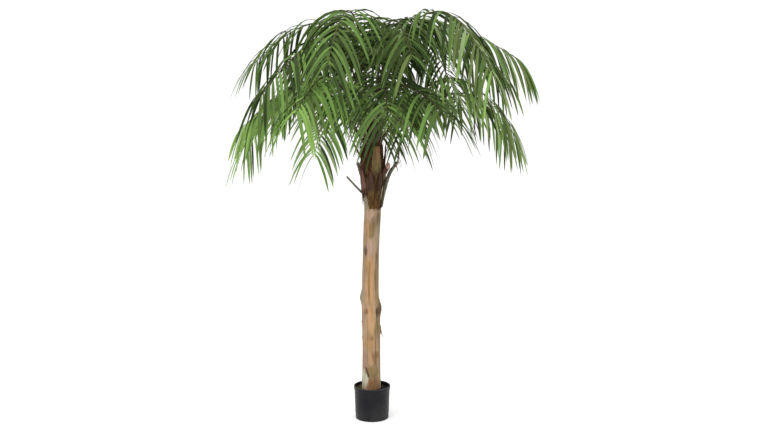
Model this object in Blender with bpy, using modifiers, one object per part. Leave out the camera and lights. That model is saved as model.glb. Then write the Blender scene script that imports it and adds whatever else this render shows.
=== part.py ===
"""An artificial fountain palm: arching feather fronds on a wooden trunk, in a plain nursery pot.

Metres, +Z up. The origin is the middle of the pot's flat underside, and -Y faces the viewer.
"""

import math

import bmesh
import bpy
from mathutils import Vector
from mathutils.bvhtree import BVHTree
from mathutils.geometry import interpolate_bezier

UP = Vector((0, 0, 1))

# Clearance between two pieces that touch
GAP = 0.0003

# Faces that meet at less than this many degrees are shaded smooth
SMOOTH_ANGLE = 40

# Pot, a tapered cup with a rolled band at its rim
POT_HEIGHT = 0.170
POT_FOOT_RADIUS = 0.085
POT_MOUTH_RADIUS = 0.0903
POT_BAND_RADIUS = 0.0925
POT_BAND_HEIGHT = 0.016
POT_WALL = 0.003
POT_FLOOR = 0.004
POT_EDGE = 0.002
POT_SIDES = 28

# Cement fill, capped with a thin layer of soil
FILL_TOP = 0.154
FILL_EDGE = 0.004

# Trunk, a peeled pole that sways a little to each side: height above its foot, radius there
TRUNK_FOOT = FILL_TOP + GAP
TRUNK_TOP = 1.160
TRUNK_RADII = (
    (0.0, 0.0470), (0.12, 0.0466), (0.24, 0.0450), (0.36, 0.0460), (0.46, 0.0448),
    (0.55, 0.0420), (0.70, 0.0398), (0.79, 0.0412), (0.86, 0.0425), (0.91, 0.0423), (1.0, 0.0420),
)
TRUNK_SIDES = 20
# Height and how far the trunk's middle lies towards +X there. The head, from the collar up, is
# shifted as a whole
HEAD_SHIFT = 0.0025
SWAY = (
    (TRUNK_FOOT, -0.0030), (0.45, -0.0030), (0.55, -0.0045), (0.65, -0.0080), (0.75, -0.0075),
    (0.85, -0.0050), (0.94, -0.0025), (1.01, 0.0005), (1.06, HEAD_SHIFT),
)
# Knots: azimuth, height and size
KNOTS = ((338, 0.566, 0.016), (189, 0.632, 0.013), (350, 0.440, 0.009), (95, 0.900, 0.008))
# How deep a knot's middle lies in the wood, in knot sizes, and how tall the knot is for its width
KNOT_DEPTH = 0.6
KNOT_STRETCH = 1.7

# Fibre collar that hides the trunk's top and carries the fronds: height and radius
COLLAR_FOOT = 1.086
COLLAR_TOP = 1.500
COLLAR_OUTLINE = (
    (COLLAR_TOP, 0.044), (1.420, 0.048), (1.330, 0.056), (1.250, 0.059),
    (1.170, 0.0545), (1.120, 0.0500), (COLLAR_FOOT, 0.0475),
)
COLLAR_SIDES = 20

# Leaf bases, upright scales that stand out of the collar in two whorls: azimuth, breadth, length
# and rise of each, and then the whorl's radius and height from foot to tip, and its half widths
BASE_HALF_THICKNESS = 0.0045
LOWER_BASES = ((38, 1.0, 1.0, 0), (140, 1.0, 1.0, 0), (222, 1.0, 0.8, 0.040), (264, 0.9, 1.0, 0),
               (306, 0.75, 1.0, 0))
LOWER_BASE_LINE = ((0.0500, 1.125), (0.0612, 1.180), (0.0685, 1.230), (0.0745, 1.280))
LOWER_BASE_HALF_WIDTHS = (0.012, 0.018, 0.015, 0.007)
UPPER_BASES = ((14, 1.0, 1.0, 0), (74, 1.0, 1.0, 0), (146, 1.0, 1.0, 0), (218, 1.0, 0.56, 0),
               (290, 1.6, 1.0, 0))
UPPER_BASE_LINE = ((0.0545, 1.245), (0.0620, 1.300), (0.0660, 1.355), (0.0690, 1.405))
UPPER_BASE_HALF_WIDTHS = (0.014, 0.016, 0.014, 0.009)
# How far a raised base moves outwards for each metre that it rises, as the collar widens
RISE_OUTWARDS = 0.1

# Stubs of cut leaf stalks: azimuth, and from foot to end the radius, height and thickness
STUBS = {
    "stub_right": (0, ((0.0500, 1.095, 0.0050), (0.0555, 1.150, 0.0080), (0.0650, 1.199, 0.0098),
                       (0.0745, 1.236, 0.0100), (0.0965, 1.284, 0.0092), (0.1285, 1.325, 0.0072))),
    "stub_front": (338, ((0.0480, 1.238, 0.0115), (0.0660, 1.274, 0.0128), (0.0820, 1.304, 0.0130))),
    "stub_left": (182, ((0.0485, 1.164, 0.0052), (0.1300, 1.251, 0.0046))),
    "stub_left_upper": (188, ((0.0500, 1.235, 0.0075), (0.0640, 1.285, 0.0085), (0.0745, 1.322, 0.0075))),
    "stub_back": (90, ((0.0510, 1.168, 0.0068), (0.1120, 1.262, 0.0052))),
}

# Where the fronds start: radius, height, rise in degrees and length of bare stalk
RINGS = {
    "inner": (0.014, 1.485, 85, 0.34),
    "top": (0.033, 1.485, 82, 0.34),
    "side": (0.036, 1.412, 58, 0.19),
}

# Fronds: ring, azimuth in degrees, crest radius and height, tip radius and height
FRONDS = (
    ("inner", 165, 0.270, 2.026, 0.631, 1.829),
    ("top", 214, 0.220, 1.933, 0.617, 1.640),
    ("top", 248, 0.278, 2.042, 0.519, 1.771),
    ("inner", 357, 0.201, 2.033, 0.740, 1.825),
    ("top", 321, 0.398, 2.040, 0.713, 1.731),
    ("top", 291, 0.289, 1.999, 0.512, 1.802),
    ("top", 9, 0.251, 2.008, 0.670, 1.773),
    ("top", 190, 0.212, 1.913, 0.432, 1.627),
    ("top", 42, 0.219, 2.048, 0.649, 1.617),
    ("top", 87, 0.238, 2.020, 0.732, 1.445),
    ("top", 132, 0.174, 2.074, 0.638, 1.671),
    ("side", 196, 0.265, 1.731, 0.634, 1.508),
    ("side", 237, 0.369, 1.735, 0.608, 1.565),
    ("side", 279, 0.266, 1.741, 0.510, 1.530),
    ("side", 304, 0.255, 1.694, 0.559, 1.570),
    ("side", 344, 0.401, 1.738, 0.710, 1.491),
    ("side", 11, 0.477, 1.672, 0.717, 1.474),
    ("side", 66, 0.338, 1.742, 0.514, 1.485),
    ("side", 121, 0.399, 1.664, 0.640, 1.343),
    ("side", 166, 0.318, 1.728, 0.691, 1.397),
)
# How far past the crest the rib still runs level, as a part of the way to the tip
CREST_BOW = 0.42
# How far out it may bend over at most before the crest, as a part of the way from its foot
FOOT_BOW = 0.8
ARC_STEPS = 48

# Ribs, each a tapered stalk in two pieces that meet at the crest
RIB_FOOT_RADIUS = 0.0055
RIB_TIP_RADIUS = 0.0028
RIB_STEP = 0.080
CREST_LEVEL = 0.010
SPLIT_MARGIN = 0.011

# Leaflets along a rib. Every second one of the real number is modelled, and wider
LEAFLET_SPACING = 0.026
LEAFLET_LENGTH = 0.310
LEAFLET_ROOT_HALF_WIDTH = 0.0018
LEAFLET_HALF_WIDTH = 0.0125
LEAFLET_ROOT_THICKNESS = 0.0022
LEAFLET_THICKNESS = 0.0036
LEAFLET_DROOP = 2.0
LEAFLET_STEPS = 8
# Their length at the rib's ends and how much is added in its middle, both as parts of the whole
LEAFLET_SWELL = (0.80, 0.20)
# Degrees between a leaflet and its rib at the first one, and how much is lost towards the tip
LEAFLET_OPENING = (76, 20, 6)
# Degrees that the first leaflets stand above the rib's own plane
LEAFLET_LIFT = 16
# How much a pair of leaflets differs from the rule: opening and lift in degrees, length in parts
LEAFLET_VARIETY = (7, 12, 0.08)
# Degrees that a leaflet may be twisted at most
LEAFLET_TWIST = 35
# Where the last leaflets stand, as a part of the rib behind its bare stalk
LEAFLET_END = 0.985
LEAFLET_CLEARANCE = 0.0012
# Turns in degrees and shortenings tried, in order, for a leaflet that would touch another piece
LEAFLET_TRIES = ((0, 1), (9, 1), (-9, 1), (0, 0.8), (16, 0.8), (-16, 0.8), (0, 0.62))


def clear_scene():
    for thing in list(bpy.data.objects):
        bpy.data.objects.remove(thing, do_unlink=True)


def new_collection(name):
    collection = bpy.data.collections.new(name)
    bpy.context.scene.collection.children.link(collection)
    return collection


def new_material(name, colour, roughness):
    material = bpy.data.materials.new(name)
    material.use_nodes = True
    surface = material.node_tree.nodes["Principled BSDF"]
    surface.inputs["Base Color"].default_value = (*colour, 1)
    surface.inputs["Roughness"].default_value = roughness
    surface.inputs["Metallic"].default_value = 0
    material.diffuse_color = (*colour, 1)
    return material


def new_object(name, data, collection, material):
    thing = bpy.data.objects.new(name, data)
    collection.objects.link(thing)
    if material:
        data.materials.append(material)
    return thing


def evaluated_mesh(thing):
    """The object's mesh with its modifiers applied."""
    graph = bpy.context.evaluated_depsgraph_get()
    return bpy.data.meshes.new_from_object(thing.evaluated_get(graph))


def apply_modifiers(thing):
    mesh = evaluated_mesh(thing)
    old = thing.data
    thing.modifiers.clear()
    thing.data = mesh
    bpy.data.meshes.remove(old)


def turned(name, outline, sides, collection, material):
    """A solid of revolution about Z. The outline is (radius, height), down its outer side."""
    mesh = bpy.data.meshes.new(name)
    points = [(radius, 0, height) for radius, height in outline]
    mesh.from_pydata(points, [(i, i + 1) for i in range(len(points) - 1)], [])
    thing = new_object(name, mesh, collection, material)
    screw = thing.modifiers.new("turn", "SCREW")
    screw.axis = "Z"
    screw.angle = 2 * math.pi
    screw.steps = sides
    screw.render_steps = sides
    screw.use_merge_vertices = True
    screw.merge_threshold = 0.0001
    screw.use_smooth_shade = True
    apply_modifiers(thing)
    thing.data.set_sharp_from_angle(angle=math.radians(SMOOTH_ANGLE))
    return thing


def tube(name, points, radii, bevel_resolution, tilt, collection, material):
    """A tapered rod through the points, as a closed mesh, its section turned by the tilt."""
    curve = bpy.data.curves.new(name, "CURVE")
    curve.dimensions = "3D"
    curve.bevel_depth = 1
    curve.bevel_resolution = bevel_resolution
    curve.use_fill_caps = True
    spline = curve.splines.new("POLY")
    spline.points.add(len(points) - 1)
    for control, point, radius in zip(spline.points, points, radii):
        control.co = (*point, 1)
        control.radius = radius
        control.tilt = tilt
    guide = bpy.data.objects.new(name + "_line", curve)
    collection.objects.link(guide)
    mesh = evaluated_mesh(guide)
    place = guide.matrix_world.copy()
    bpy.data.objects.remove(guide, do_unlink=True)
    bpy.data.curves.remove(curve)
    shape = bmesh.new()
    shape.from_mesh(mesh)
    bmesh.ops.remove_doubles(shape, verts=shape.verts, dist=0.00001)
    bmesh.ops.recalc_face_normals(shape, faces=shape.faces)
    shape.to_mesh(mesh)
    shape.free()
    mesh.shade_smooth()
    mesh.set_sharp_from_angle(angle=math.radians(SMOOTH_ANGLE))
    mesh.materials.clear()
    thing = new_object(name, mesh, collection, material)
    thing.matrix_world = place
    return thing


def boolean(thing, operation, operand):
    """Join or cut the object, with a single object or with a whole collection."""
    change = thing.modifiers.new(operation.lower(), "BOOLEAN")
    change.operation = operation
    change.solver = "EXACT"
    if isinstance(operand, bpy.types.Collection):
        change.operand_type = "COLLECTION"
        change.collection = operand
    else:
        change.object = operand
    apply_modifiers(thing)


def join_collection(thing, collection):
    """Fuse everything in the collection to the object, and remove the collection."""
    boolean(thing, "UNION", collection)
    for piece in list(collection.objects):
        bpy.data.objects.remove(piece, do_unlink=True)
    bpy.data.collections.remove(collection)


def polar(azimuth, radius, height):
    angle = math.radians(azimuth)
    return Vector((radius * math.cos(angle), radius * math.sin(angle), height))


def wobble(*seeds):
    """A repeatable value from -1 to 1 that differs for each set of whole numbers."""
    weights = (12.9898, 78.233, 37.719)
    value = math.sin(sum(weight * seed for weight, seed in zip(weights, seeds))) * 43758.5453
    return 2 * (value - math.floor(value)) - 1


def make_pot(collection, material):
    inner_foot = POT_FOOT_RADIUS - POT_WALL
    inner_mouth = POT_MOUTH_RADIUS - POT_WALL
    band_foot = POT_HEIGHT - POT_BAND_HEIGHT
    outline = (
        (0, POT_FLOOR),
        (inner_foot, POT_FLOOR),
        (inner_mouth, POT_HEIGHT - POT_EDGE),
        (inner_mouth + POT_EDGE, POT_HEIGHT),
        (POT_BAND_RADIUS - POT_EDGE, POT_HEIGHT),
        (POT_BAND_RADIUS, POT_HEIGHT - POT_EDGE),
        (POT_BAND_RADIUS, band_foot + POT_EDGE),
        (POT_BAND_RADIUS - POT_EDGE, band_foot),
        (POT_MOUTH_RADIUS - POT_EDGE / 2, band_foot),
        (POT_FOOT_RADIUS, POT_EDGE),
        (POT_FOOT_RADIUS - POT_EDGE, 0),
        (0, 0),
    )
    return turned("pot", outline, POT_SIDES, collection, material)


def make_fill(collection, material):
    slope = (POT_MOUTH_RADIUS - POT_FOOT_RADIUS) / (POT_HEIGHT - POT_EDGE - POT_FLOOR)
    foot = POT_FOOT_RADIUS - POT_WALL - 2 * GAP
    top = foot + slope * (FILL_TOP - FILL_EDGE - POT_FLOOR)
    outline = (
        (0, FILL_TOP),
        (top - FILL_EDGE, FILL_TOP),
        (top, FILL_TOP - FILL_EDGE),
        (foot, POT_FLOOR + GAP),
        (0, POT_FLOOR + GAP),
    )
    return turned("pot_fill", outline, POT_SIDES, collection, material)


def between(table, value):
    """Read a table of (place, value) pairs, straight from one pair to the next."""
    for (low, first), (high, second) in zip(table, table[1:]):
        if value <= high:
            return first + (second - first) * max(0, value - low) / (high - low)
    return table[-1][1]


def trunk_radius(height):
    """The trunk's radius at a height above its foot."""
    return between(TRUNK_RADII, height)


def sway(thing, foot):
    """Shift every ring of a turned piece along X, as far as the trunk leans at its height."""
    for vertex in thing.data.vertices:
        vertex.co.x += between(SWAY, foot + vertex.co.z)


def make_trunk(collection, material):
    length = TRUNK_TOP - TRUNK_FOOT
    heights = [height for height, _ in TRUNK_RADII[:-1]]
    outline = [(0, length), (trunk_radius(length), length)]
    outline += [(trunk_radius(height), height) for height in reversed(heights)]
    outline.append((0, 0))
    trunk = turned("trunk", outline, TRUNK_SIDES, collection, material)
    sway(trunk, TRUNK_FOOT)
    trunk.location = (0, 0, TRUNK_FOOT)
    knots = new_collection("knots")
    for azimuth, height, size in KNOTS:
        depth = trunk_radius(height - TRUNK_FOOT) - size * KNOT_DEPTH
        mesh = bpy.data.meshes.new("knot")
        shape = bmesh.new()
        bmesh.ops.create_uvsphere(shape, u_segments=8, v_segments=6, radius=size)
        bmesh.ops.scale(shape, verts=shape.verts, vec=(1, 1, KNOT_STRETCH))
        shape.to_mesh(mesh)
        shape.free()
        knot = new_object("knot", mesh, knots, None)
        knot.location = polar(azimuth, depth, height) + Vector((between(SWAY, height), 0, 0))
    bpy.context.view_layer.update()
    join_collection(trunk, knots)
    return trunk


def make_collar(name, grow, collection, material):
    """The fibre collar with a socket for the trunk. Grown a little, it is the fronds' cutter."""
    socket_foot = trunk_radius(COLLAR_FOOT - TRUNK_FOOT) + GAP
    socket_top = trunk_radius(TRUNK_TOP - TRUNK_FOOT) + GAP
    outline = [(0, COLLAR_TOP + grow)]
    outline += [(radius + grow, height) for height, radius in COLLAR_OUTLINE]
    outline[1] = (outline[1][0], COLLAR_TOP + grow)
    outline += [(socket_foot, COLLAR_FOOT), (socket_top, TRUNK_TOP + GAP), (0, TRUNK_TOP + GAP)]
    collar = turned(name, outline, COLLAR_SIDES, collection, material)
    sway(collar, 0)
    return collar


def loft(name, rings, collection, material):
    """A closed skin through rings of points. A ring of one point closes it in a tip."""
    shape = bmesh.new()
    loops = [[shape.verts.new(point) for point in ring] for ring in rings]
    count = len(loops[0])
    shape.faces.new(list(reversed(loops[0])))
    for low, high in zip(loops, loops[1:]):
        for i in range(count):
            j = (i + 1) % count
            if len(high) == 1:
                shape.faces.new((low[i], low[j], high[0]))
            else:
                shape.faces.new((low[i], low[j], high[j], high[i]))
    if len(loops[-1]) > 1:
        shape.faces.new(loops[-1])
    bmesh.ops.recalc_face_normals(shape, faces=shape.faces)
    mesh = bpy.data.meshes.new(name)
    shape.to_mesh(mesh)
    shape.free()
    return new_object(name, mesh, collection, material)


def make_leaf_bases(cutter, collection, material):
    """Upright scales, thick at the foot, that lean out of the collar and end in a blunt tip."""
    whorls = (
        ("lower", LOWER_BASES, LOWER_BASE_LINE, LOWER_BASE_HALF_WIDTHS),
        ("upper", UPPER_BASES, UPPER_BASE_LINE, UPPER_BASE_HALF_WIDTHS),
    )
    thick = BASE_HALF_THICKNESS
    bases = []
    for level, azimuths, line, half_widths in whorls:
        for number, (azimuth, breadth, length, rise) in enumerate(azimuths, 1):
            raised = Vector((RISE_OUTWARDS * rise, rise))
            rings = []
            for corner, half_width in zip(line, half_widths):
                radius, height = Vector(line[0]).lerp(Vector(corner), length) + raised
                half = half_width * breadth
                edge = radius - half * half / (2 * radius)
                rings.append((
                    (edge - thick, -half, height), (edge, -half, height),
                    (radius + thick, -half / 2, height), (radius + thick, half / 2, height),
                    (edge, half, height), (edge - thick, half, height),
                ))
            name = f"leaf_base_{level}_{number}"
            base = loft(name, rings, collection, material)
            base.rotation_euler.z = math.radians(azimuth)
            base.location.x = HEAD_SHIFT
            bpy.context.view_layer.update()
            boolean(base, "DIFFERENCE", cutter)
            bases.append(base)
    return bases


def make_stubs(cutter, collection, material):
    stubs = []
    for name, (azimuth, line) in STUBS.items():
        points = [Vector((radius, 0, height)) for radius, height, _ in line]
        radii = [thickness for _, _, thickness in line]
        stub = tube(name, points, radii, 1, 0, collection, material)
        stub.rotation_euler.z = math.radians(azimuth)
        stub.location.x = HEAD_SHIFT
        bpy.context.view_layer.update()
        boolean(stub, "DIFFERENCE", cutter)
        stubs.append(stub)
    return stubs


def arc(start, bend, end):
    """Points from start to end, leaving and arriving on the lines to the bend."""
    return interpolate_bezier(start, start.lerp(bend, 2 / 3), end.lerp(bend, 2 / 3), end, ARC_STEPS)


def rib_halves(frond):
    """The rib's two arcs in the XZ plane, from its foot to the crest and on to the tip."""
    ring, _, crest_radius, crest_height, tip_radius, tip_height = frond
    radius, height, rise, _ = RINGS[ring]
    foot = Vector((radius, 0, height))
    crest = Vector((crest_radius, 0, crest_height))
    tip = Vector((tip_radius, 0, tip_height))
    lean = (crest_height - height) / math.tan(math.radians(rise))
    bend_radius = min(radius + lean, radius + FOOT_BOW * (crest_radius - radius))
    level = crest_radius + CREST_BOW * (tip_radius - crest_radius)
    rising = arc(foot, Vector((bend_radius, 0, crest_height)), crest)
    falling = arc(crest, Vector((level, 0, crest_height)), tip)
    return rising, falling


def length_of(points):
    return sum((b - a).length for a, b in zip(points, points[1:]))


def walk(points, distance):
    """The point and the direction at a distance along a line of points."""
    for a, b in zip(points, points[1:]):
        step = (b - a).length
        if distance <= step:
            return a.lerp(b, distance / step), (b - a).normalized()
        distance -= step
    return points[-1].copy(), (points[-1] - points[-2]).normalized()


def coarse(points, part):
    """The same line with fewer, evenly spaced points, and level where it meets the other half."""
    length = length_of(points)
    count = math.ceil(length / RIB_STEP)
    line = [walk(points, length * i / count)[0] for i in range(count + 1)]
    if part == "inner":
        line.insert(-1, line[-1] - Vector((CREST_LEVEL, 0, 0)))
    else:
        line.insert(1, line[0] + Vector((CREST_LEVEL, 0, 0)))
        line[0].x += GAP
    return line


def leaflet_length(v):
    """Longest in the middle of the frond. v runs from 0 at the first leaflet to 1 at the tip."""
    least, more = LEAFLET_SWELL
    return LEAFLET_LENGTH * (least + more * math.sin(math.pi * min(1, 0.12 + 0.88 * v)))


def leaflet_rings(frond_number, number, v, root, along, turn, shorten, grow):
    """Three rings of a leaflet: its sunk root, its middle and its tip, in the frond's own frame."""
    side = Vector((0, 1 if number % 2 == 0 else -1, 0))
    lift_way = Vector((-along.z, 0, along.x))
    widest, closing, last = LEAFLET_OPENING
    open_more, lift_more, length_more = (
        most * wobble(frond_number, number // 2, seed) for seed, most in enumerate(LEAFLET_VARIETY, 1)
    )
    opening = math.radians(widest - closing * v - last * v ** 4 + open_more + turn)
    lift = math.radians(LEAFLET_LIFT * (1 - v) + lift_more + turn / 2)
    out = side * math.cos(lift) + lift_way * math.sin(lift)
    start_way = along * math.cos(opening) + out * math.sin(opening)
    length = leaflet_length(v) * (1 + length_more) * shorten
    twist = math.radians(LEAFLET_TWIST) * wobble(frond_number, number, 4)
    points = [root.copy()]
    for step in range(LEAFLET_STEPS):
        fall = LEAFLET_DROOP * (step + 0.5) / LEAFLET_STEPS
        way = (start_way - UP * fall).normalized()
        points.append(points[-1] + way * length / LEAFLET_STEPS)
    middle = points[LEAFLET_STEPS // 2]
    way = (middle - root).normalized()
    flat = (along - way * along.dot(way)).normalized()
    across = flat * math.cos(twist) + way.cross(flat) * math.sin(twist)
    face = across.cross(way)
    rings = []
    for point, half, thick in (
        (root, LEAFLET_ROOT_HALF_WIDTH, LEAFLET_ROOT_THICKNESS),
        (middle, LEAFLET_HALF_WIDTH, LEAFLET_THICKNESS),
    ):
        centre = point - face * thick / 2
        rings.append((
            centre - across * (half + grow) - face * grow,
            centre + across * (half + grow) - face * grow,
            centre + face * (thick + grow),
        ))
    rings.append((points[-1] + (points[-1] - points[-2]).normalized() * grow,))
    return rings


def solid_tree(rings, place):
    """The search tree of a lofted solid, moved to its place."""
    vertices = [place @ Vector(point) for ring in rings for point in ring]
    starts = [0]
    for ring in rings[:-1]:
        starts.append(starts[-1] + len(ring))
    faces = [tuple(range(len(rings[0])))]
    count = len(rings[0])
    for i, (low, high) in enumerate(zip(rings, rings[1:])):
        for j in range(count):
            k = (j + 1) % count
            if len(high) == 1:
                faces.append((starts[i] + j, starts[i] + k, starts[i + 1]))
            else:
                quad = (starts[i] + j, starts[i] + k, starts[i + 1] + k, starts[i + 1] + j)
                faces.append(quad)
    return BVHTree.FromPolygons(vertices, faces), bounds_of(vertices)


def object_tree(thing):
    vertices = [thing.matrix_world @ vertex.co for vertex in thing.data.vertices]
    faces = [tuple(face.vertices) for face in thing.data.polygons]
    return BVHTree.FromPolygons(vertices, faces), bounds_of(vertices)


def bounds_of(points):
    low = [min(point[axis] for point in points) for axis in range(3)]
    high = [max(point[axis] for point in points) for axis in range(3)]
    return low, high


def boxes_meet(one, other):
    return all(one[0][axis] <= other[1][axis] and other[0][axis] <= one[1][axis] for axis in range(3))


def is_clear(tree, box, taken, own_name):
    for name, other_tree, other_box in taken:
        if name != own_name and boxes_meet(box, other_box) and tree.overlap(other_tree):
            return False
    return True


def make_ribs(cutter, collection, material):
    """Two stalk pieces for each frond, and the lines that their leaflets stand on."""
    ribs = {}
    lines = []
    for number, frond in enumerate(FRONDS, 1):
        whole = 0
        halves = rib_halves(frond)
        total = sum(length_of(points) for points in halves)
        for part, smooth in zip(("inner", "outer"), halves):
            points = coarse(smooth, part)
            reach = [whole + length_of(points[:i + 1]) for i in range(len(points))]
            radii = [RIB_FOOT_RADIUS + (RIB_TIP_RADIUS - RIB_FOOT_RADIUS) * r / total for r in reach]
            name = f"frond_{number:02d}_{part}"
            rib = tube(name, points, radii, 0, math.pi / 4, collection, material)
            rib.rotation_euler.z = math.radians(frond[1])
            bpy.context.view_layer.update()
            if part == "inner":
                boolean(rib, "DIFFERENCE", cutter)
            ribs[name] = rib
            lines.append((number, name, smooth, points, whole, total))
            whole += length_of(points)
    return ribs, lines


def planned_leaflets(lines):
    """Every modelled leaflet's place: frond, node, number, place along it, root and direction."""
    plans = []
    for number, name, smooth, points, start, total in lines:
        bare = RINGS[FRONDS[number - 1][0]][3]
        count = round((total - bare) / LEAFLET_SPACING)
        length = length_of(points)
        for k in range(2 * count + 2):
            if k % 4 not in (0, 3):
                continue
            v = k // 2 / count
            distance = bare + (total - bare) * min(LEAFLET_END, v) - start
            if not 0 <= distance < length + GAP:
                continue
            if name.endswith("inner"):
                distance = min(distance, length - SPLIT_MARGIN)
            else:
                distance = max(distance, SPLIT_MARGIN)
            root = walk(points, distance)[0]
            along = walk(smooth, distance)[1]
            plans.append((number, name, k, v, root, along))
    return plans


def make_leaflets(ribs, lines, others, material):
    """Leaflets that touch nothing but their own rib, the widest reaching ones placed first."""
    taken = [(name, *object_tree(rib)) for name, rib in ribs.items()]
    taken += [(other.name, *object_tree(other)) for other in others]
    sprays = {name: new_collection(name + "_leaflets") for name in ribs}
    plans = planned_leaflets(lines)
    plans.sort(key=lambda plan: -plan[4].x)
    for number, name, k, v, root, along in plans:
        place = ribs[name].matrix_world
        for turn, shorten in LEAFLET_TRIES:
            shape = (number, k, v, root, along, turn, shorten)
            tree, box = solid_tree(leaflet_rings(*shape, LEAFLET_CLEARANCE), place)
            if is_clear(tree, box, taken, name):
                leaflet = loft("leaflet", leaflet_rings(*shape, 0), sprays[name], material)
                leaflet.matrix_world = place
                taken.append(("leaflet", tree, box))
                break
    bpy.context.view_layer.update()
    for name, rib in ribs.items():
        join_collection(rib, sprays[name])


def main():
    clear_scene()
    palm = new_collection("fountain palm")
    cutters = new_collection("cutters")
    plastic = new_material("black pot plastic", (0.012, 0.012, 0.013), 0.45)
    soil = new_material("dark soil", (0.030, 0.022, 0.016), 0.95)
    wood = new_material("peeled wood", (0.360, 0.225, 0.130), 0.75)
    fibre = new_material("brown fibre", (0.090, 0.045, 0.025), 0.90)
    scale = new_material("dry leaf base", (0.170, 0.095, 0.050), 0.80)
    leaf = new_material("leaf green", (0.060, 0.160, 0.035), 0.50)

    make_pot(palm, plastic)
    make_fill(palm, soil)
    trunk = make_trunk(palm, wood)
    collar = make_collar("collar", 0, palm, fibre)
    cutter = make_collar("collar_clearance", GAP, cutters, None)
    cutter.hide_render = True
    cutter.display_type = "WIRE"
    bases = make_leaf_bases(cutter, palm, scale)
    stubs = make_stubs(cutter, palm, scale)
    ribs, lines = make_ribs(cutter, palm, leaf)
    make_leaflets(ribs, lines, [trunk, collar, *bases, *stubs], leaf)

    stand = bpy.data.objects.new("palm_stand", None)
    palm.objects.link(stand)
    for thing in palm.objects:
        if thing is not stand:
            thing.parent = stand


main()
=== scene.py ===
# %% [markdown]
# # An artificial fountain palm
#
# The object is an imitation palm about two metres tall: a peeled pole that stands in a small black
# nursery pot, a collar of brown fibre round the pole's head, and twenty feather fronds that rise
# from the collar and arch over.
#
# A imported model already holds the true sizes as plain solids. This lesson loads them as a fixed
# frame and makes a finer piece for each: a lathe-turned pot, wood with its grain and knots, fibre
# strand by strand, and fronds with every leaflet.

import math
import random

import bmesh
import bpy
from mathutils import Matrix, Vector, noise
from mathutils.geometry import interpolate_bezier


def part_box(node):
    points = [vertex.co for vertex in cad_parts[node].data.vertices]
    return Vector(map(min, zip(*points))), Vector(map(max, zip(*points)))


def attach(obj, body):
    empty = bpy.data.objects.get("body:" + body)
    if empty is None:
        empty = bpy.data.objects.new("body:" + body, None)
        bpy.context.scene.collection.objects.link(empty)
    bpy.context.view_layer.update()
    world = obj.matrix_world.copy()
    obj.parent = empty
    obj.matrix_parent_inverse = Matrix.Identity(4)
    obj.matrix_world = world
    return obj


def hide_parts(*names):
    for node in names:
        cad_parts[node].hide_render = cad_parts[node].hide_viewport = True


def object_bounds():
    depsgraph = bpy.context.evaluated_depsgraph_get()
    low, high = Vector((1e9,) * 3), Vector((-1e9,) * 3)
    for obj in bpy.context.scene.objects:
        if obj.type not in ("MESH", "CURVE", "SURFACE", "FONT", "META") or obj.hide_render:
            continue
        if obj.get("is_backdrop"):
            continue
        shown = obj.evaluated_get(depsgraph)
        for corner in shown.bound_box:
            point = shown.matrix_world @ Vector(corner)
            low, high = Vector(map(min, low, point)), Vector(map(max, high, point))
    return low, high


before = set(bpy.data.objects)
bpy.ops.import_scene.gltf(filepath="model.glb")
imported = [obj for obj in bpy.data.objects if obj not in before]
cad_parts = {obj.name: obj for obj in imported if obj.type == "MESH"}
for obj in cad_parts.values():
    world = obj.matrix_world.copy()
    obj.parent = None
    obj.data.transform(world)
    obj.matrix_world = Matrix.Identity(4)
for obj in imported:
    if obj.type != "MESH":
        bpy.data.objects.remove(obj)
cad_low, cad_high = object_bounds()
for name, corner in (("lowest", cad_low), ("highest", cad_high)):
    print(name, "corner of the frame:", [round(value, 3) for value in corner])

# %% [markdown]
# ## The camera
#
# The tree was photographed from about eye height and four and a half metres away, with a lens
# close to a standard one. The pot's rim shows as a thin ellipse, and its width and height give the
# camera's height and its tilt.

# %% Set up the camera
CAMERA_PLACE = (0.041, -4.4, 1.5)
CAMERA_DOWN = 5.7
CAMERA_LENS = 41.2
SENSOR_WIDTH = 36

camera_data = bpy.data.cameras.new("camera")
camera_data.lens = CAMERA_LENS
camera_data.sensor_width = SENSOR_WIDTH
camera = bpy.data.objects.new("camera", camera_data)
camera.location = CAMERA_PLACE
camera.rotation_euler = (math.radians(90 - CAMERA_DOWN), 0, 0)
bpy.context.scene.collection.objects.link(camera)
bpy.context.scene.camera = camera
print("camera", CAMERA_PLACE, "tilted down", CAMERA_DOWN, "degrees")

# %% [markdown]
# ## From a working mesh to a piece
#
# Every piece is shaped in a bmesh, Blender's editable mesh, which has the same operators as Edit
# Mode. When the shape is done it becomes an object at the origin, with its place in its own
# vertices, and hides the solids of the frame that it stands for.

# %% Keep a finished shape
SHARP_ANGLE = math.radians(45)


def keep(shape, name, finishes, nodes):
    """Turn a bmesh into an object that rides on the frame and hides the solids it replaces."""
    mesh = bpy.data.meshes.new(name)
    shape.to_mesh(mesh)
    shape.free()
    mesh.shade_smooth()
    mesh.set_sharp_from_angle(angle=SHARP_ANGLE)
    for finish in finishes:
        mesh.materials.append(finish)
    piece = bpy.data.objects.new(name, mesh)
    bpy.context.scene.collection.objects.link(piece)
    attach(piece, "root")
    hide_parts(*nodes)
    triangles = sum(len(face.vertices) - 2 for face in mesh.polygons)
    print(name, "has", triangles, "triangles")


# %% [markdown]
# ## Building materials out of nodes
#
# A material is a small network, and the same few moves build every one. These helpers add a node
# with its inputs by name, blend two colours by a mask, stretch a range of values, and start or
# place a node group, which is an effect that several materials share.

# %% Helpers for nodes
def set_input(tree, socket, value):
    if isinstance(value, bpy.types.NodeSocket):
        tree.links.new(value, socket)
    else:
        socket.default_value = value


def add_node(tree, kind, inputs, output=0, **options):
    """Add a node with its options and its inputs, and return one of its outputs."""
    made = tree.nodes.new(kind)
    for name, value in options.items():
        setattr(made, name, value)
    for name, value in inputs.items():
        set_input(tree, made.inputs[name], value)
    return made.outputs[output]


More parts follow.
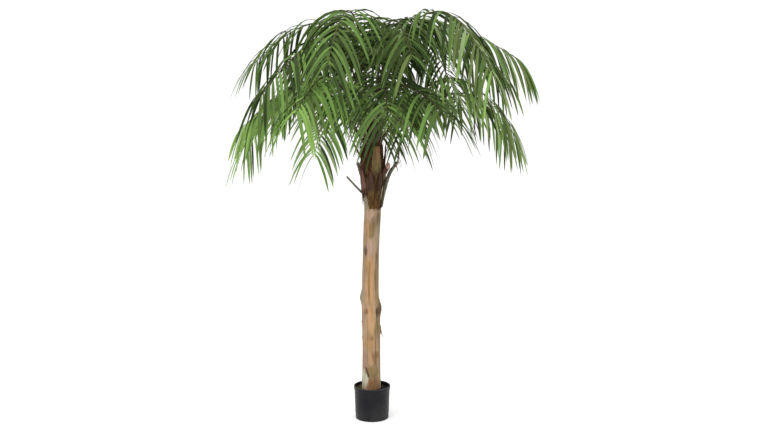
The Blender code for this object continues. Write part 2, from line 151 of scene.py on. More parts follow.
def blend_colours(tree, mask, low, high):
    """Mix two colours, each a triple or a socket, by a mask from 0 to 1."""
    mix = tree.nodes.new("ShaderNodeMix")
    mix.data_type = "RGBA"
    set_input(tree, mix.inputs[0], mask)
    for socket, colour in ((mix.inputs[6], low), (mix.inputs[7], high)):
        set_input(tree, socket, colour if isinstance(colour, bpy.types.NodeSocket) else (*colour, 1))
    return mix.outputs[2]


def spread(tree, value, low, high, to_low=0.0, to_high=1.0):
    """Stretch the values between low and high to a new range, and clip the rest."""
    return add_node(tree, "ShaderNodeMapRange", {
        "Value": value, "From Min": low, "From Max": high, "To Min": to_low, "To Max": to_high,
    })


def arithmetic(tree, operation, first, second):
    made = tree.nodes.new("ShaderNodeMath")
    made.operation = operation
    set_input(tree, made.inputs[0], first)
    set_input(tree, made.inputs[1], second)
    return made.outputs[0]


def new_group(name, inputs, outputs):
    """An empty node group with number inputs, each with a value to start from."""
    group = bpy.data.node_groups.new(name, "ShaderNodeTree")
    for socket, value in inputs.items():
        made = group.interface.new_socket(name=socket, in_out="INPUT", socket_type="NodeSocketFloat")
        made.default_value = value
    for socket in outputs:
        group.interface.new_socket(name=socket, in_out="OUTPUT", socket_type="NodeSocketFloat")
    return group, group.nodes.new("NodeGroupInput"), group.nodes.new("NodeGroupOutput")


def use_group(material, group, inputs):
    """Place a group in a material with its own values, and return its outputs."""
    made = material.node_tree.nodes.new("ShaderNodeGroup")
    made.node_tree = group
    for name, value in inputs.items():
        set_input(material.node_tree, made.inputs[name], value)
    return made.outputs


def new_finish(name, **settings):
    """A material whose Principled shader takes the settings that are the same all over."""
    material = bpy.data.materials.new(name)
    material.use_nodes = True
    shader = material.node_tree.nodes["Principled BSDF"]
    for socket, value in settings.items():
        shader.inputs[socket.replace("_", " ")].default_value = value
    return material, material.node_tree, shader


def object_place(tree):
    """Object coordinates in metres."""
    return tree.nodes.new("ShaderNodeTexCoord").outputs["Object"]


def object_axis(tree, axis):
    return add_node(tree, "ShaderNodeSeparateXYZ", {"Vector": object_place(tree)}, axis)


def raise_surface(tree, shader, height, distance, strength=1.0):
    """Bump the surface by a height from 0 to 1 that stands for a distance in metres."""
    bump = add_node(tree, "ShaderNodeBump", {
        "Height": height, "Distance": distance, "Strength": strength,
    })
    tree.links.new(bump, shader.inputs["Normal"])


# %% [markdown]
# ## Two effects that several finishes share
#
# Wood, fibre, leaf bases and stalks all have a grain that runs up and down. The first group is
# noise that is squeezed across and stretched along the height, with a fine and a broad output.
# The pot, the soil and the wood all gather dust and scuffs, so the second group gives patches
# that break up into specks.

# %% Grain group
grain_group, grain_in, grain_out = new_group(
    "long grain", {"Scale": 60.0, "Stretch": 0.1, "Broad Scale": 14.0}, ("Fine", "Broad"))
grain_scale = grain_group.nodes.new("ShaderNodeCombineXYZ")
grain_scale.inputs[0].default_value = 1
grain_scale.inputs[1].default_value = 1
grain_group.links.new(grain_in.outputs["Stretch"], grain_scale.inputs[2])
grain_place = add_node(grain_group, "ShaderNodeMapping", {
    "Vector": object_place(grain_group), "Scale": grain_scale.outputs[0],
})
for output, scale in (("Fine", "Scale"), ("Broad", "Broad Scale")):
    noise_value = add_node(grain_group, "ShaderNodeTexNoise", {
        "Vector": grain_place, "Scale": grain_in.outputs[scale], "Detail": 5.0, "Roughness": 0.62,
    })
    grain_group.links.new(noise_value, grain_out.inputs[output])

# %% Dust group
dust_group, dust_in, dust_out = new_group(
    "dust and specks", {"Patch Scale": 9.0, "Speck Scale": 220.0}, ("Patches", "Specks"))
dust_place = object_place(dust_group)
patches = add_node(dust_group, "ShaderNodeTexNoise", {
    "Vector": dust_place, "Scale": dust_in.outputs["Patch Scale"], "Detail": 6.0, "Roughness": 0.7,
})
specks = add_node(dust_group, "ShaderNodeTexNoise", {
    "Vector": dust_place, "Scale": dust_in.outputs["Speck Scale"], "Detail": 2.0,
})
dust_group.links.new(spread(dust_group, patches, 0.42, 0.68), dust_out.inputs["Patches"])
dust_group.links.new(spread(dust_group, specks, 0.55, 0.75), dust_out.inputs["Specks"])
print("shared effects:", grain_group.name, "and", dust_group.name)

# %% [markdown]
# ## The pot
#
# A nursery pot is injection-moulded in black polypropylene: a thin tapered wall, a rolled band at
# the rim that stiffens it, and a slightly narrower foot. It could be a cylinder with its ends
# scaled, but one profile line that is spun round the axis gives the wall, the band and the foot
# together. Its hard corners are rounded with a bevel afterwards.

# %% Spin a profile
def spin_profile(shape, profile, sides):
    """Turn a line of (radius, height) corners round the Z axis into a closed skin."""
    corners = [shape.verts.new((radius, 0, height)) for radius, height in profile]
    line = [shape.edges.new(pair) for pair in zip(corners, corners[1:])]
    bmesh.ops.spin(shape, geom=corners + line, cent=(0, 0, 0), axis=(0, 0, 1),
                   angle=2 * math.pi, steps=sides, use_merge=True)
    bmesh.ops.remove_doubles(shape, verts=shape.verts, dist=0.00001)
    bmesh.ops.recalc_face_normals(shape, faces=shape.faces)


def sharp_edges(shape, degrees):
    limit = math.radians(degrees)
    return [edge for edge in shape.edges if len(edge.link_faces) == 2
            and edge.calc_face_angle(0) > limit]


# %% Turn the pot
POT_PROFILE = (
    (0, 0.004), (0.0822, 0.004), (0.0828, 0.006), (0.0888, 0.1655), (0.0895, 0.1690),
    (0.0905, 0.1700), (0.0928, 0.1700), (0.0942, 0.1690), (0.0945, 0.1672), (0.0945, 0.1560),
    (0.0941, 0.1546), (0.0934, 0.1540), (0.0922, 0.1540), (0.0918, 0.1495), (0.0898, 0.1000),
    (0.0876, 0.0330), (0.0873, 0.0312), (0.0866, 0.0302), (0.0856, 0.0030), (0.0846, 0.0006),
    (0.0829, 0.0), (0.0774, 0.0), (0.0759, 0.0016), (0, 0.0016),
)
POT_SIDES = 128
POT_CORNER_ANGLE = 40
POT_ROUNDING = 0.0004

pot_shape = bmesh.new()
spin_profile(pot_shape, POT_PROFILE, POT_SIDES)
bmesh.ops.bevel(pot_shape, geom=sharp_edges(pot_shape, POT_CORNER_ANGLE), offset=POT_ROUNDING,
                offset_type="OFFSET", segments=2, profile=0.5, affect="EDGES", material=-1)

# %% [markdown]
# The plastic is close to black, with a low gloss. Handling leaves it dusty at the foot and lightly
# scuffed, a painted highlight makes the top of the rim a little paler, and the mould leaves faint
# rings that only the highlights show.

# %% Black plastic
plastic, tree, shader = new_finish("black pot plastic", Specular_IOR_Level=0.17)
dust = use_group(plastic, dust_group, {"Patch Scale": 7.0, "Speck Scale": 160.0})
height_above = object_axis(tree, "Z")
low_down = spread(tree, height_above, 0.0, 0.09, 1.0, 0.25)
# The top of the rim is painted paler: a painted highlight where its edge catches the light.
rim_highlight = spread(tree, height_above, 0.166, 0.1695, 0.0, 0.8)
dusty = arithmetic(tree, "MULTIPLY", dust["Patches"], low_down)
clean = blend_colours(tree, dust["Specks"], (0.003, 0.003, 0.0058), (0.008, 0.008, 0.0125))
with_rim_highlight = blend_colours(tree, rim_highlight, clean, (0.050, 0.046, 0.042))
tree.links.new(blend_colours(tree, dusty, with_rim_highlight, (0.030, 0.028, 0.026)), shader.inputs["Base Color"])
tree.links.new(spread(tree, dusty, 0.0, 1.0, 0.36, 0.70), shader.inputs["Roughness"])
rings = add_node(tree, "ShaderNodeTexWave", {
    "Vector": object_place(tree), "Scale": 60.0, "Distortion": 0.6, "Detail": 1.0,
}, bands_direction="Z")
raise_surface(tree, shader, arithmetic(tree, "ADD", rings, dust["Specks"]), 0.00012, 0.6)
keep(pot_shape, "pot", [plastic], ["pot"])

# %% [markdown]
# ## The soil
#
# The pot is cast full, and the cast is hidden under a thin layer of dark soil. The body is spun as
# the pot was. Its top is drawn up and down with noise, which is a smooth random field, and banked
# a little against the trunk. Loose crumbs are small icospheres, squeezed and turned at random.

# %% Turn the soil and roughen its top
random.seed(11)
SOIL_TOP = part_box("pot_fill")[1].z
SOIL_EDGE = 0.0874
SOIL_FOOT = (0.0812, 0.0045)
SOIL_SHOULDER = 0.004
SOIL_RINGS = 26
SOIL_SIDES = 110
TRUNK_FOOT_RADIUS = 0.0470
# The bank against the trunk: its height and how soon it fades. Then lumps and grit: height, scale
BANK, BANK_REACH = 0.0045, 0.009
LUMPS, LUMP_SCALE = 0.0022, 55
GRIT, GRIT_SCALE = 0.0010, 260

soil_shape = bmesh.new()
soil_profile = [(0, SOIL_FOOT[1]), SOIL_FOOT, (SOIL_EDGE, SOIL_TOP - SOIL_SHOULDER)]
soil_profile += [(SOIL_EDGE * (1 - ring / SOIL_RINGS), SOIL_TOP) for ring in range(SOIL_RINGS + 1)]
spin_profile(soil_shape, soil_profile, SOIL_SIDES)


def soil_height(x, y):
    """The soil's height above its level, banked against the trunk."""
    distance = math.hypot(x, y)
    bank = BANK * math.exp(-max(0, distance - TRUNK_FOOT_RADIUS) / BANK_REACH)
    lumps = LUMPS * noise.fractal(Vector((x * LUMP_SCALE, y * LUMP_SCALE, 3)), 0.8, 2.1, 3)
    grit = GRIT * noise.noise(Vector((x * GRIT_SCALE, y * GRIT_SCALE, 8)))
    return bank + lumps + grit


for vertex in soil_shape.verts:
    if vertex.co.z > SOIL_TOP - 0.001:
        vertex.co.z += soil_height(vertex.co.x, vertex.co.y)

# %% Scatter the crumbs
CRUMBS = 260
CRUMBS_FROM, CRUMBS_TO = 0.049, 0.084
CRUMB_SIZES = (0.0009, 0.0013, 0.0018, 0.0026)
CRUMB_SQUEEZE = (0.7, 1.3)
CRUMB_FLATNESS = 0.7
# How far a crumb's middle lies above the soil, as a share of its size
CRUMB_PROUD = 0.3

for _ in range(CRUMBS):
    angle = random.uniform(0, 2 * math.pi)
    distance = math.sqrt(random.uniform(CRUMBS_FROM ** 2, CRUMBS_TO ** 2))
    x, y = distance * math.cos(angle), distance * math.sin(angle)
    size = random.choice(CRUMB_SIZES)
    level = SOIL_TOP + soil_height(x, y) + size * CRUMB_PROUD
    wide, deep = random.uniform(*CRUMB_SQUEEZE), random.uniform(*CRUMB_SQUEEZE)
    squeeze = Matrix.Diagonal((wide, deep, CRUMB_FLATNESS, 1))
    turn = Matrix.Rotation(random.uniform(0, 2 * math.pi), 4, "Z")
    bmesh.ops.create_icosphere(soil_shape, subdivisions=1, radius=size,
                               matrix=Matrix.Translation((x, y, level)) @ turn @ squeeze)
print(CRUMBS, "crumbs on the soil")

# %% [markdown]
# The soil is nearly black at the right and brown at the left, with a few pale specks.

# %% Dark soil
soil_finish, tree, shader = new_finish("dark soil", Roughness=0.95, Specular_IOR_Level=0.2)
dust = use_group(soil_finish, dust_group, {"Patch Scale": 40.0, "Speck Scale": 420.0})
darker_right_soil = blend_colours(tree, dust["Patches"], (0.006, 0.004, 0.003), (0.018, 0.013, 0.009))
browner_left_soil = blend_colours(tree, dust["Patches"], (0.045, 0.035, 0.014), (0.095, 0.075, 0.034))
# The soil is darker towards the right and browner towards the left.
earth = blend_colours(tree, spread(tree, object_axis(tree, "X"), -0.050, 0.030), browner_left_soil, darker_right_soil)
speckled = blend_colours(tree, dust["Specks"], earth, (0.055, 0.040, 0.027))
tree.links.new(speckled, shader.inputs["Base Color"])
raise_surface(tree, shader, dust["Patches"], 0.0015)
keep(soil_shape, "soil", [soil_finish], ["pot_fill"])

# %% [markdown]
# ## The trunk
#
# The trunk is a real pole with its bark peeled off: almost round, thicker at the foot and a little
# at three quarters of its height, with a slight sway, long shallow flutes, drying cracks, knots
# where twigs were, and a split at the lower left. A displacement texture could fake this, but the
# outline would stay smooth, so the relief is in the mesh. A spun profile gives an even net of
# faces, and each vertex is then moved in or out by a function of its angle and height.
#
# What that function finds also goes into vertex attributes, so that the material can paint shade
# into the cracks and colour the knots and the patches exactly where they are.

# %% Spin the pole
TRUNK_LOW, TRUNK_HIGH = (corner.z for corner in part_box("trunk"))
# Height above the foot, and the radius there
TRUNK_RADII = ((0.0, 0.0475), (0.12, 0.0475), (0.24, 0.0462), (0.36, 0.0462), (0.46, 0.0455),
               (0.55, 0.0432), (0.70, 0.0410), (0.79, 0.0420), (0.87, 0.0428), (1.01, 0.0420))
# The head is shifted to the right as a whole. Below it, height and how far to the right
HEAD_SHIFT = 0.0025
SWAY = ((TRUNK_LOW, -0.0030), (0.45, -0.0036), (0.55, -0.0050), (0.65, -0.0092), (0.75, -0.0088),
        (0.85, -0.0064), (0.94, -0.0038), (1.01, -0.0005), (1.06, HEAD_SHIFT))
TRUNK_SIDES = 176
TRUNK_RINGS = 250


def between(table, value):
    """Read a table of (place, value) pairs, straight from one pair to the next."""
    for (low, first), (high, second) in zip(table, table[1:]):
        if value <= high:
            return first + (second - first) * max(0, value - low) / (high - low)
    return table[-1][1]


trunk_shape = bmesh.new()
trunk_profile = [(0, TRUNK_LOW)]
for ring in range(TRUNK_RINGS + 1):
    height = (TRUNK_HIGH - TRUNK_LOW) * ring / TRUNK_RINGS
    trunk_profile.append((between(TRUNK_RADII, height), TRUNK_LOW + height))
trunk_profile.append((0, TRUNK_HIGH))
spin_profile(trunk_shape, trunk_profile, TRUNK_SIDES)

# %% [markdown]
# The marks of the wood are listed with the direction they face, as an azimuth in degrees, in which
# 270 is the front and 0 the right. The ones at the front stand where they show on the real trunk,
# and those at the back are spread in the same manner.

# %% List the marks of the wood
# Knots: azimuth, height, size, darkness
KNOTS = (
    (338, 0.580, 0.0200, 0.8), (189, 0.632, 0.0150, 0.1), (350, 0.452, 0.0070, 0.3),
    (203, 0.508, 0.0080, 0.6), (201, 0.424, 0.0075, 0.2), (95, 0.900, 0.0080, 0.9),
    (213, 0.552, 0.0045, 0.8), (215, 0.880, 0.0055, 0.5), (150, 0.380, 0.0070, 0.9),
    (60, 0.720, 0.0090, 0.9),
)
# Cracks: azimuth, lowest and highest height, depth
CRACKS = (
    (262, 0.60, 0.84, 0.0012), (300, 0.24, 0.50, 0.0020), (318, 0.40, 0.56, 0.0024),
    (309, 0.505, 0.590, 0.0034), (235, 0.78, 1.02, 0.0014), (286, 0.86, 1.09, 0.0016),
    (20, 0.70, 0.98, 0.0018), (60, 0.25, 0.66, 0.0022), (105, 0.50, 0.80, 0.0018),
    (140, 0.66, 1.02, 0.0020), (178, 0.22, 0.50, 0.0018), (205, 0.70, 0.96, 0.0016),
    (80, 0.86, 1.08, 0.0016), (292, 0.17, 0.24, 0.0016), (246, 0.32, 0.54, 0.0010),
    (310, 0.64, 0.86, 0.0012),
)
# Patches: kind, azimuth, height, half width, half height, strength
PATCHES = (
    ("blush", 258, 1.060, 0.0278, 0.035, 0.8), ("scar_and_shade", 318, 1.046, 0.0120, 0.030, 0.6),
    # The dark patch at azimuth 345 beside the large knot is painted shade on the side of its swelling
    ("scar_and_shade", 275, 1.034, 0.0085, 0.020, 0.45), ("scar_and_shade", 345, 0.588, 0.0120, 0.018, 0.75),
    ("peach", 240, 0.978, 0.0135, 0.046, 0.9), ("olive", 272, 0.986, 0.0138, 0.060, 1.0),
    ("skin", 325, 0.936, 0.0178, 0.088, 0.8), ("blush", 269, 0.892, 0.0274, 0.041, 1.0),
    ("scar_and_shade", 228, 0.875, 0.0120, 0.024, 0.85), ("peach", 266, 0.808, 0.0220, 0.050, 0.9),
    ("ochre", 256, 0.792, 0.0120, 0.036, 0.8), ("scar_and_shade", 322, 0.850, 0.0060, 0.036, 0.6),
    ("peach", 271, 0.685, 0.0241, 0.085, 0.9), ("ochre", 262, 0.703, 0.0077, 0.090, 1.0),
    ("olive", 325, 0.723, 0.0160, 0.126, 1.0), ("skin", 208, 0.650, 0.0139, 0.041, 0.9),
    ("skin", 337, 0.590, 0.0103, 0.021, 0.9), ("scar_and_shade", 315, 0.560, 0.0105, 0.026, 1.0),
    ("peach", 265, 0.517, 0.0184, 0.083, 1.0), ("brown", 239, 0.565, 0.0091, 0.014, 0.9),
    ("olive", 310, 0.471, 0.0152, 0.039, 0.9), ("ochre", 262, 0.403, 0.0308, 0.040, 1.0),
    ("brown", 270, 0.425, 0.0130, 0.012, 0.7), ("brown", 292, 0.296, 0.0060, 0.028, 0.9),
    ("mauve", 220, 0.316, 0.0224, 0.048, 1.0), ("brown", 291, 0.337, 0.0150, 0.022, 1.0),
    ("peach", 261, 0.322, 0.0105, 0.039, 0.7), ("pale", 218, 0.208, 0.0229, 0.045, 1.0),
    ("olive", 282, 0.247, 0.0340, 0.032, 1.0), ("brown", 296, 0.189, 0.0322, 0.034, 1.0),
    ("skin", 222, 1.130, 0.0280, 0.050, 1.0), ("blush", 100, 0.600, 0.0260, 0.120, 0.9),
    ("ochre", 60, 0.450, 0.0220, 0.100, 0.8), ("skin", 120, 0.800, 0.0240, 0.120, 0.9),
    ("peach", 160, 0.480, 0.0240, 0.110, 0.8), ("scar_and_shade", 150, 0.380, 0.0120, 0.030, 0.8),
    ("olive", 20, 0.900, 0.0240, 0.100, 0.8), ("pale", 80, 0.220, 0.0240, 0.050, 0.9),
    ("scar_and_shade", 62, 0.690, 0.0110, 0.034, 0.9), ("peach", 80, 0.960, 0.0220, 0.080, 0.8),
)
# The colour of each kind, in the order they are laid over each other
TONES = {
    "skin": (0.205, 0.170, 0.115), "peach": (0.375, 0.220, 0.108), "ochre": (0.290, 0.158, 0.060),
    "brown": (0.170, 0.080, 0.029), "olive": (0.165, 0.116, 0.042), "blush": (0.340, 0.228, 0.165),
    # The darkest kind, for scars and for the painted shade on the large knot
    "mauve": (0.255, 0.160, 0.115), "pale": (0.400, 0.385, 0.290), "scar_and_shade": (0.062, 0.033, 0.017),
}
print(len(KNOTS), "knots,", len(CRACKS), "cracks and", len(PATCHES), "patches")

# %% [markdown]
# Each mark is a hill or a groove that fades with the distance from its middle. A knot is a swelling
# with a sunk eye and faint rings, a crack is a narrow groove that wanders a little, and the split
# is a wide one that leans. Smooth noise in four sizes makes the flutes and lumps between them. A
# patch is an oval with a ragged edge, and the patches of skin stand a little proud.

# %% Set the sizes of the relief
# Layers of noise: depth, scale round the trunk, offset, scale along it
WOOD_LUMPS = ((0.0020, 1.6, (0, 0), 5.0), (0.0014, 5.5, (4, 0), 4.0), (0.0006, 15, (0, 7), 8.0),
              (0.0003, 38, (0, 0), 14.0))
# A knot's height against its breadth, its swelling and its eye against its size, and its rings
KNOT_STRETCH, KNOT_SWELL, KNOT_EYE, KNOT_RINGS = 1.7, 0.62, 0.30, 0.0005
CRACK_WANDER, CRACK_WIDTH = 0.0035, 0.0016
# How much painted shade a crack gets for each metre of its depth, and the most that one gets
CRACK_SHADE_PER_METRE, CRACK_SHADE_MOST = 420, 0.9
SPLIT_AZIMUTH, SPLIT_LOW, SPLIT_HIGH, SPLIT_DEPTH = 241, 0.218, 0.276, 0.0080
SPLIT_LEAN, SPLIT_WIDTH, SPLIT_WIDENS = 0.024, 0.0036, 0.0050
PATCH_RAGGED = 0.6
SKIN_THICKNESS = 0.0006


# %% Helpers for the relief
def lumpy(out, across, height, layers):
    """Add layers of smooth noise to how far a surface stands out."""
    for depth, around, offset, along in layers:
        out += depth * noise.noise(across * around + Vector((*offset, height * along)))
    return out


def arc_between(angle, azimuth, radius):
    """The distance round the trunk from an azimuth in degrees to an angle in radians."""
    turn = (angle - math.radians(azimuth) + math.pi) % (2 * math.pi) - math.pi
    return turn * radius


# %% Work out the relief at a point
def wood_relief(point):
    """How far the wood stands out here, how dark its knots and the painted shade in its cracks make it,
    and its patches by kind.
    """
    angle = math.atan2(point.y, point.x)
    radius = math.hypot(point.x, point.y)
    across = Vector((math.cos(angle), math.sin(angle), 0))
    height = point.z
    out = lumpy(0, across, height, WOOD_LUMPS)
    dark = 0
    for azimuth, middle, size, depth in KNOTS:
        side = arc_between(angle, azimuth, radius) / size
        up = (height - middle) / (size * KNOT_STRETCH)
        far = side * side + up * up
        if far < 9:
            swell = size * KNOT_SWELL * math.exp(-far * 0.9)
            out += swell - size * KNOT_EYE * depth * math.exp(-far * 9)
            out += KNOT_RINGS * math.sin(11 * math.sqrt(far)) * math.exp(-far * 0.8)
            dark = max(dark, depth * math.exp(-far * 1.8))
    for azimuth, low, high, depth in CRACKS:
        if low < height < high:
            wander = CRACK_WANDER * noise.noise(Vector((azimuth, 0, height * 9)))
            side = (arc_between(angle, azimuth, radius) + wander) / CRACK_WIDTH
            if abs(side) < 3:
                fade = math.sin(math.pi * (height - low) / (high - low)) ** 0.5
                groove = math.exp(-side * side) * fade
                out -= depth * groove
                # Painted shade in the groove, darker the deeper the crack
                dark = max(dark, min(CRACK_SHADE_MOST, depth * CRACK_SHADE_PER_METRE) * groove)
    if SPLIT_LOW < height < SPLIT_HIGH:
        up = (height - SPLIT_LOW) / (SPLIT_HIGH - SPLIT_LOW)
        side = arc_between(angle, SPLIT_AZIMUTH, radius) + SPLIT_LEAN * (up - 0.5)
        ends = min(1, 8 * up, 8 * (1 - up))
        groove = math.exp(-(side / (SPLIT_WIDTH + SPLIT_WIDENS * up)) ** 2) * ends
        out -= SPLIT_DEPTH * groove
        # The split is filled with painted shade
        dark = max(dark, groove)
    tones = dict.fromkeys(TONES, 0)
    edge = PATCH_RAGGED * noise.noise(across * 7 + Vector((0, 3, height * 22)))
    for kind, azimuth, middle, wide, tall, strength in PATCHES:
        side = arc_between(angle, azimuth, radius) / wide
        far = math.hypot(side, (height - middle) / tall) + edge
        tones[kind] = max(tones[kind], strength * min(1, max(0, (1.3 - far) * 2)))
    return out + SKIN_THICKNESS * tones["skin"], dark, tones


# %% Move the wood in and out
# The foot is a little wider: by how much, and how soon that fades
FLARE, FLARE_REACH = 0.0015, 0.03

wood_layers = {name: trunk_shape.verts.layers.float.new(name) for name in ("dark", *TONES)}
for vertex in trunk_shape.verts:
    radius = math.hypot(vertex.co.x, vertex.co.y)
    if radius > 0.001:
        out, vertex[wood_layers["dark"]], tones = wood_relief(vertex.co)
        for kind, value in tones.items():
            vertex[wood_layers[kind]] = value
        out += FLARE * math.exp(-(vertex.co.z - TRUNK_LOW) / FLARE_REACH)
        vertex.co.x *= 1 + out / radius
        vertex.co.y *= 1 + out / radius
        vertex.co.x += between(SWAY, vertex.co.z)
print("trunk from", round(TRUNK_LOW, 4), "to", round(TRUNK_HIGH, 4))

# %% [markdown]
# Peeled softwood weathers unevenly: peach and ochre where it was scraped last, pinkish in places,
# pale near the foot, and a grey olive skin of inner bark elsewhere. It is greyer towards its left,
# and darker towards its right, which is painted shade on the side turned from the light. The
# material blends the patches by their attributes, draws thin darker lines with the fine grain,
# darkens the knots, and paints shade into the cracks and the split.

# %% Peeled wood
wood, tree, shader = new_finish("peeled wood", Specular_IOR_Level=0.2)
grain = use_group(wood, grain_group, {"Scale": 150.0, "Stretch": 0.045, "Broad Scale": 34.0})
dust = use_group(wood, dust_group, {"Patch Scale": 13.0, "Speck Scale": 300.0})
side = object_axis(tree, "X")
broad = spread(tree, grain["Broad"], 0.38, 0.64)
toned = blend_colours(tree, broad, (0.190, 0.112, 0.057), (0.350, 0.228, 0.128))
# Towards the left the wood turns greyer; towards the right it turns darker, painted shade on the side
# away from the light
for low, high, most, colour in ((-0.020, -0.042, 0.8, (0.270, 0.195, 0.130)),
                                (0.010, 0.034, 0.85, (0.190, 0.138, 0.082))):
    toned = blend_colours(tree, spread(tree, side, low, high, 0.0, most), toned, colour)
for kind, colour in TONES.items():
    mask = add_node(tree, "ShaderNodeAttribute", {}, "Fac", attribute_name=kind)
    toned = blend_colours(tree, mask, toned, colour)
# The dark attribute holds the knots' own darker wood and the painted shade in the cracks and the split
dark = add_node(tree, "ShaderNodeAttribute", {}, "Fac", attribute_name="dark")
lines = spread(tree, grain["Fine"], 0.36, 0.56, 0.50, 0.0)
lined = blend_colours(tree, lines, toned, (0.140, 0.085, 0.042))
dusty = arithmetic(tree, "MULTIPLY", dust["Patches"], 0.22)
patchy = blend_colours(tree, dusty, lined, (0.480, 0.360, 0.240))
tree.links.new(blend_colours(tree, dark, patchy, (0.040, 0.024, 0.014)), shader.inputs["Base Color"])
tree.links.new(spread(tree, grain["Fine"], 0.3, 0.7, 0.66, 0.88), shader.inputs["Roughness"])
raise_surface(tree, shader, grain["Fine"], 0.0011)

# %% [markdown]
# ## Drawing a stalk along a line
#
# Leaf bases, cut stubs and frond ribs are all long shapes with a round or flattened section. Each
# starts as a small capped circle that is extruded again and again: the new ring is turned to the
# line's direction there and scaled to the width and thickness there.

# %% Sweep a ring along a line
def polar(azimuth, radius, height):
    angle = math.radians(azimuth)
    return Vector((radius * math.cos(angle), radius * math.sin(angle), height))


def extrude_ring(shape, edges):
    """Extrude a ring of edges where it is, and return the new ring's vertices and edges."""
    grown = bmesh.ops.extrude_edge_only(shape, edges=edges)["geom"]
    ring = [part for part in grown if isinstance(part, bmesh.types.BMVert)]
    edges = [part for part in grown if isinstance(part, bmesh.types.BMEdge)
             and all(end in ring for end in part.verts)]
    return ring, edges


def sweep(shape, azimuth, points, sizes, sides, finish=0):
    """Extrude a ring along the points. A size is the ring's radius outwards and sideways."""
    turn = Matrix.Rotation(math.radians(azimuth), 3, "Z")
    way = Vector((0, 0, 1))
    last = None
    for i, (point, (thick, wide)) in enumerate(zip(points, sizes)):
        ahead = (points[min(i + 1, len(points) - 1)] - points[max(i - 1, 0)]).normalized()
        turn = way.rotation_difference(ahead).to_matrix() @ turn
        way = ahead
        place = Matrix.Translation(point) @ turn.to_4x4() @ Matrix.Diagonal((thick, wide, 1, 1))
        if last is None:
            ring = bmesh.ops.create_circle(shape, cap_ends=True, segments=sides, radius=1,
                                           matrix=place)["verts"]
            foot = ring[0].link_faces[0]
            foot.material_index = finish
            edges = list(foot.edges)
        else:
            ring, edges = extrude_ring(shape, edges)
            bmesh.ops.transform(shape, matrix=place @ last.inverted(), verts=ring)
        last = place
    return bmesh.ops.contextual_create(shape, geom=edges, mat_nr=finish)["faces"][0]


def smooth_line(corners, steps):
    """A rounder line through the corners, which leaves each corner towards its neighbours."""
    line = []
    for i in range(len(corners) - 1):
        before, start, end, after = (corners[max(i - 1, 0)], corners[i], corners[i + 1],
                                     corners[min(i + 2, len(corners) - 1)])
        piece = interpolate_bezier(start, start + (end - before) / 6, end - (after - start) / 6,
                                   end, steps + 1)
        line += piece[:-1]
    return line + [corners[-1].copy()]


# %% [markdown]
# ## The splinter
#
# A splinter of the peeled wood stands off the trunk at the right, below the large knot. It is the
# first shape that is drawn this way, and it belongs to the trunk's own piece.

# %% Sweep the splinter and keep the trunk
SPLINTER_AZIMUTH = 352
SPLINTER = ((0.0430, 0.486), (0.0460, 0.462), (0.0505, 0.442), (0.0570, 0.424))
SPLINTER_SIZES = ((0.0032, 0.0070), (0.0030, 0.0064), (0.0026, 0.0054), (0.0012, 0.0024))
SPLINTER_SIDES = 8
SPLINTER_PALE = 0.7

splinter_line = smooth_line([polar(SPLINTER_AZIMUTH, *corner) for corner in SPLINTER], 1)
before = len(trunk_shape.verts)
sweep(trunk_shape, SPLINTER_AZIMUTH, splinter_line, SPLINTER_SIZES, SPLINTER_SIDES)
trunk_shape.verts.ensure_lookup_table()
for vertex in trunk_shape.verts[before:]:
    vertex[wood_layers["pale"]] = SPLINTER_PALE
bmesh.ops.recalc_face_normals(trunk_shape, faces=trunk_shape.faces)
keep(trunk_shape, "trunk", [wood], ["trunk"])

# %% [markdown]
# ## Copies of one template, each bent along its own line
#
# There are over a thousand leaflets and about as many strands of fibre. Sweeping each one would
# be slow, and an array modifier can't bend its copies differently. So one straight template is
# made with operators, one unit long. It is copied into a mesh once for each line, and the
# vertices of each copy are moved onto that line. The leaflets on one side of a rib are mirror
# images of those on the other, which turns a copy inside out, so the faces of those are flipped.

# %% Bend the copies
def as_template(shape, name):
    """Keep a working mesh as one that is only copied and never shown."""
    template = bpy.data.meshes.new(name)
    shape.to_mesh(template)
    shape.free()
    print(name, "has", len(template.polygons), "faces")
    return template


def bend_copies(template, lines):
    """A mesh of copies. A line is (centres, side vectors, face vectors, finish number)."""
    shape = bmesh.new()
    for _ in lines:
        shape.from_mesh(template)
    corners = [vertex.co.copy() for vertex in template.vertices]
    places = iter(shape.verts)
    faces = iter(shape.faces)
    for centres, sides, ups, finish in lines:
        last = len(centres) - 1
        middle = last // 2
        for along, across, lift in corners:
            step = min(int(along * last), last - 1)
            part = along * last - step
            centre = centres[step].lerp(centres[step + 1], part)
            side = sides[step].lerp(sides[step + 1], part)
            up = ups[step].lerp(ups[step + 1], part)
            next(places).co = centre + side * across + up * lift
        way = centres[middle + 1] - centres[middle]
        mirrored = sides[middle].cross(ups[middle]).dot(way) < 0
        for _ in template.polygons:
            face = next(faces)
            face.material_index = finish
            if mirrored:
                face.normal_flip()
    return shape


# %% [markdown]
# ## The collar
#
# The pole's head is wrapped in brown coconut fibre, layer over layer, as the leaf bases of a real
# palm leave it. The wrap is fullest below its middle and ragged at its lower edge, and on the left
# it starts higher, so that the wood shows. A core is spun and given ledges and ridges, and strands
# are laid over it afterwards.

# %% Shape the core of the collar
COLLAR_LOW, COLLAR_HIGH = (corner.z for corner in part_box("collar"))
# Height, and the radius there
COLLAR_OUTLINE = (
    (1.086, 0.0455), (1.120, 0.0480), (1.170, 0.0525), (1.250, 0.0575), (1.330, 0.0545),
    (1.420, 0.0475), (1.500, 0.0435),
)
COLLAR_SIDES = 132
COLLAR_RINGS = 120
TRUNK_HEAD_RADIUS = 0.0435
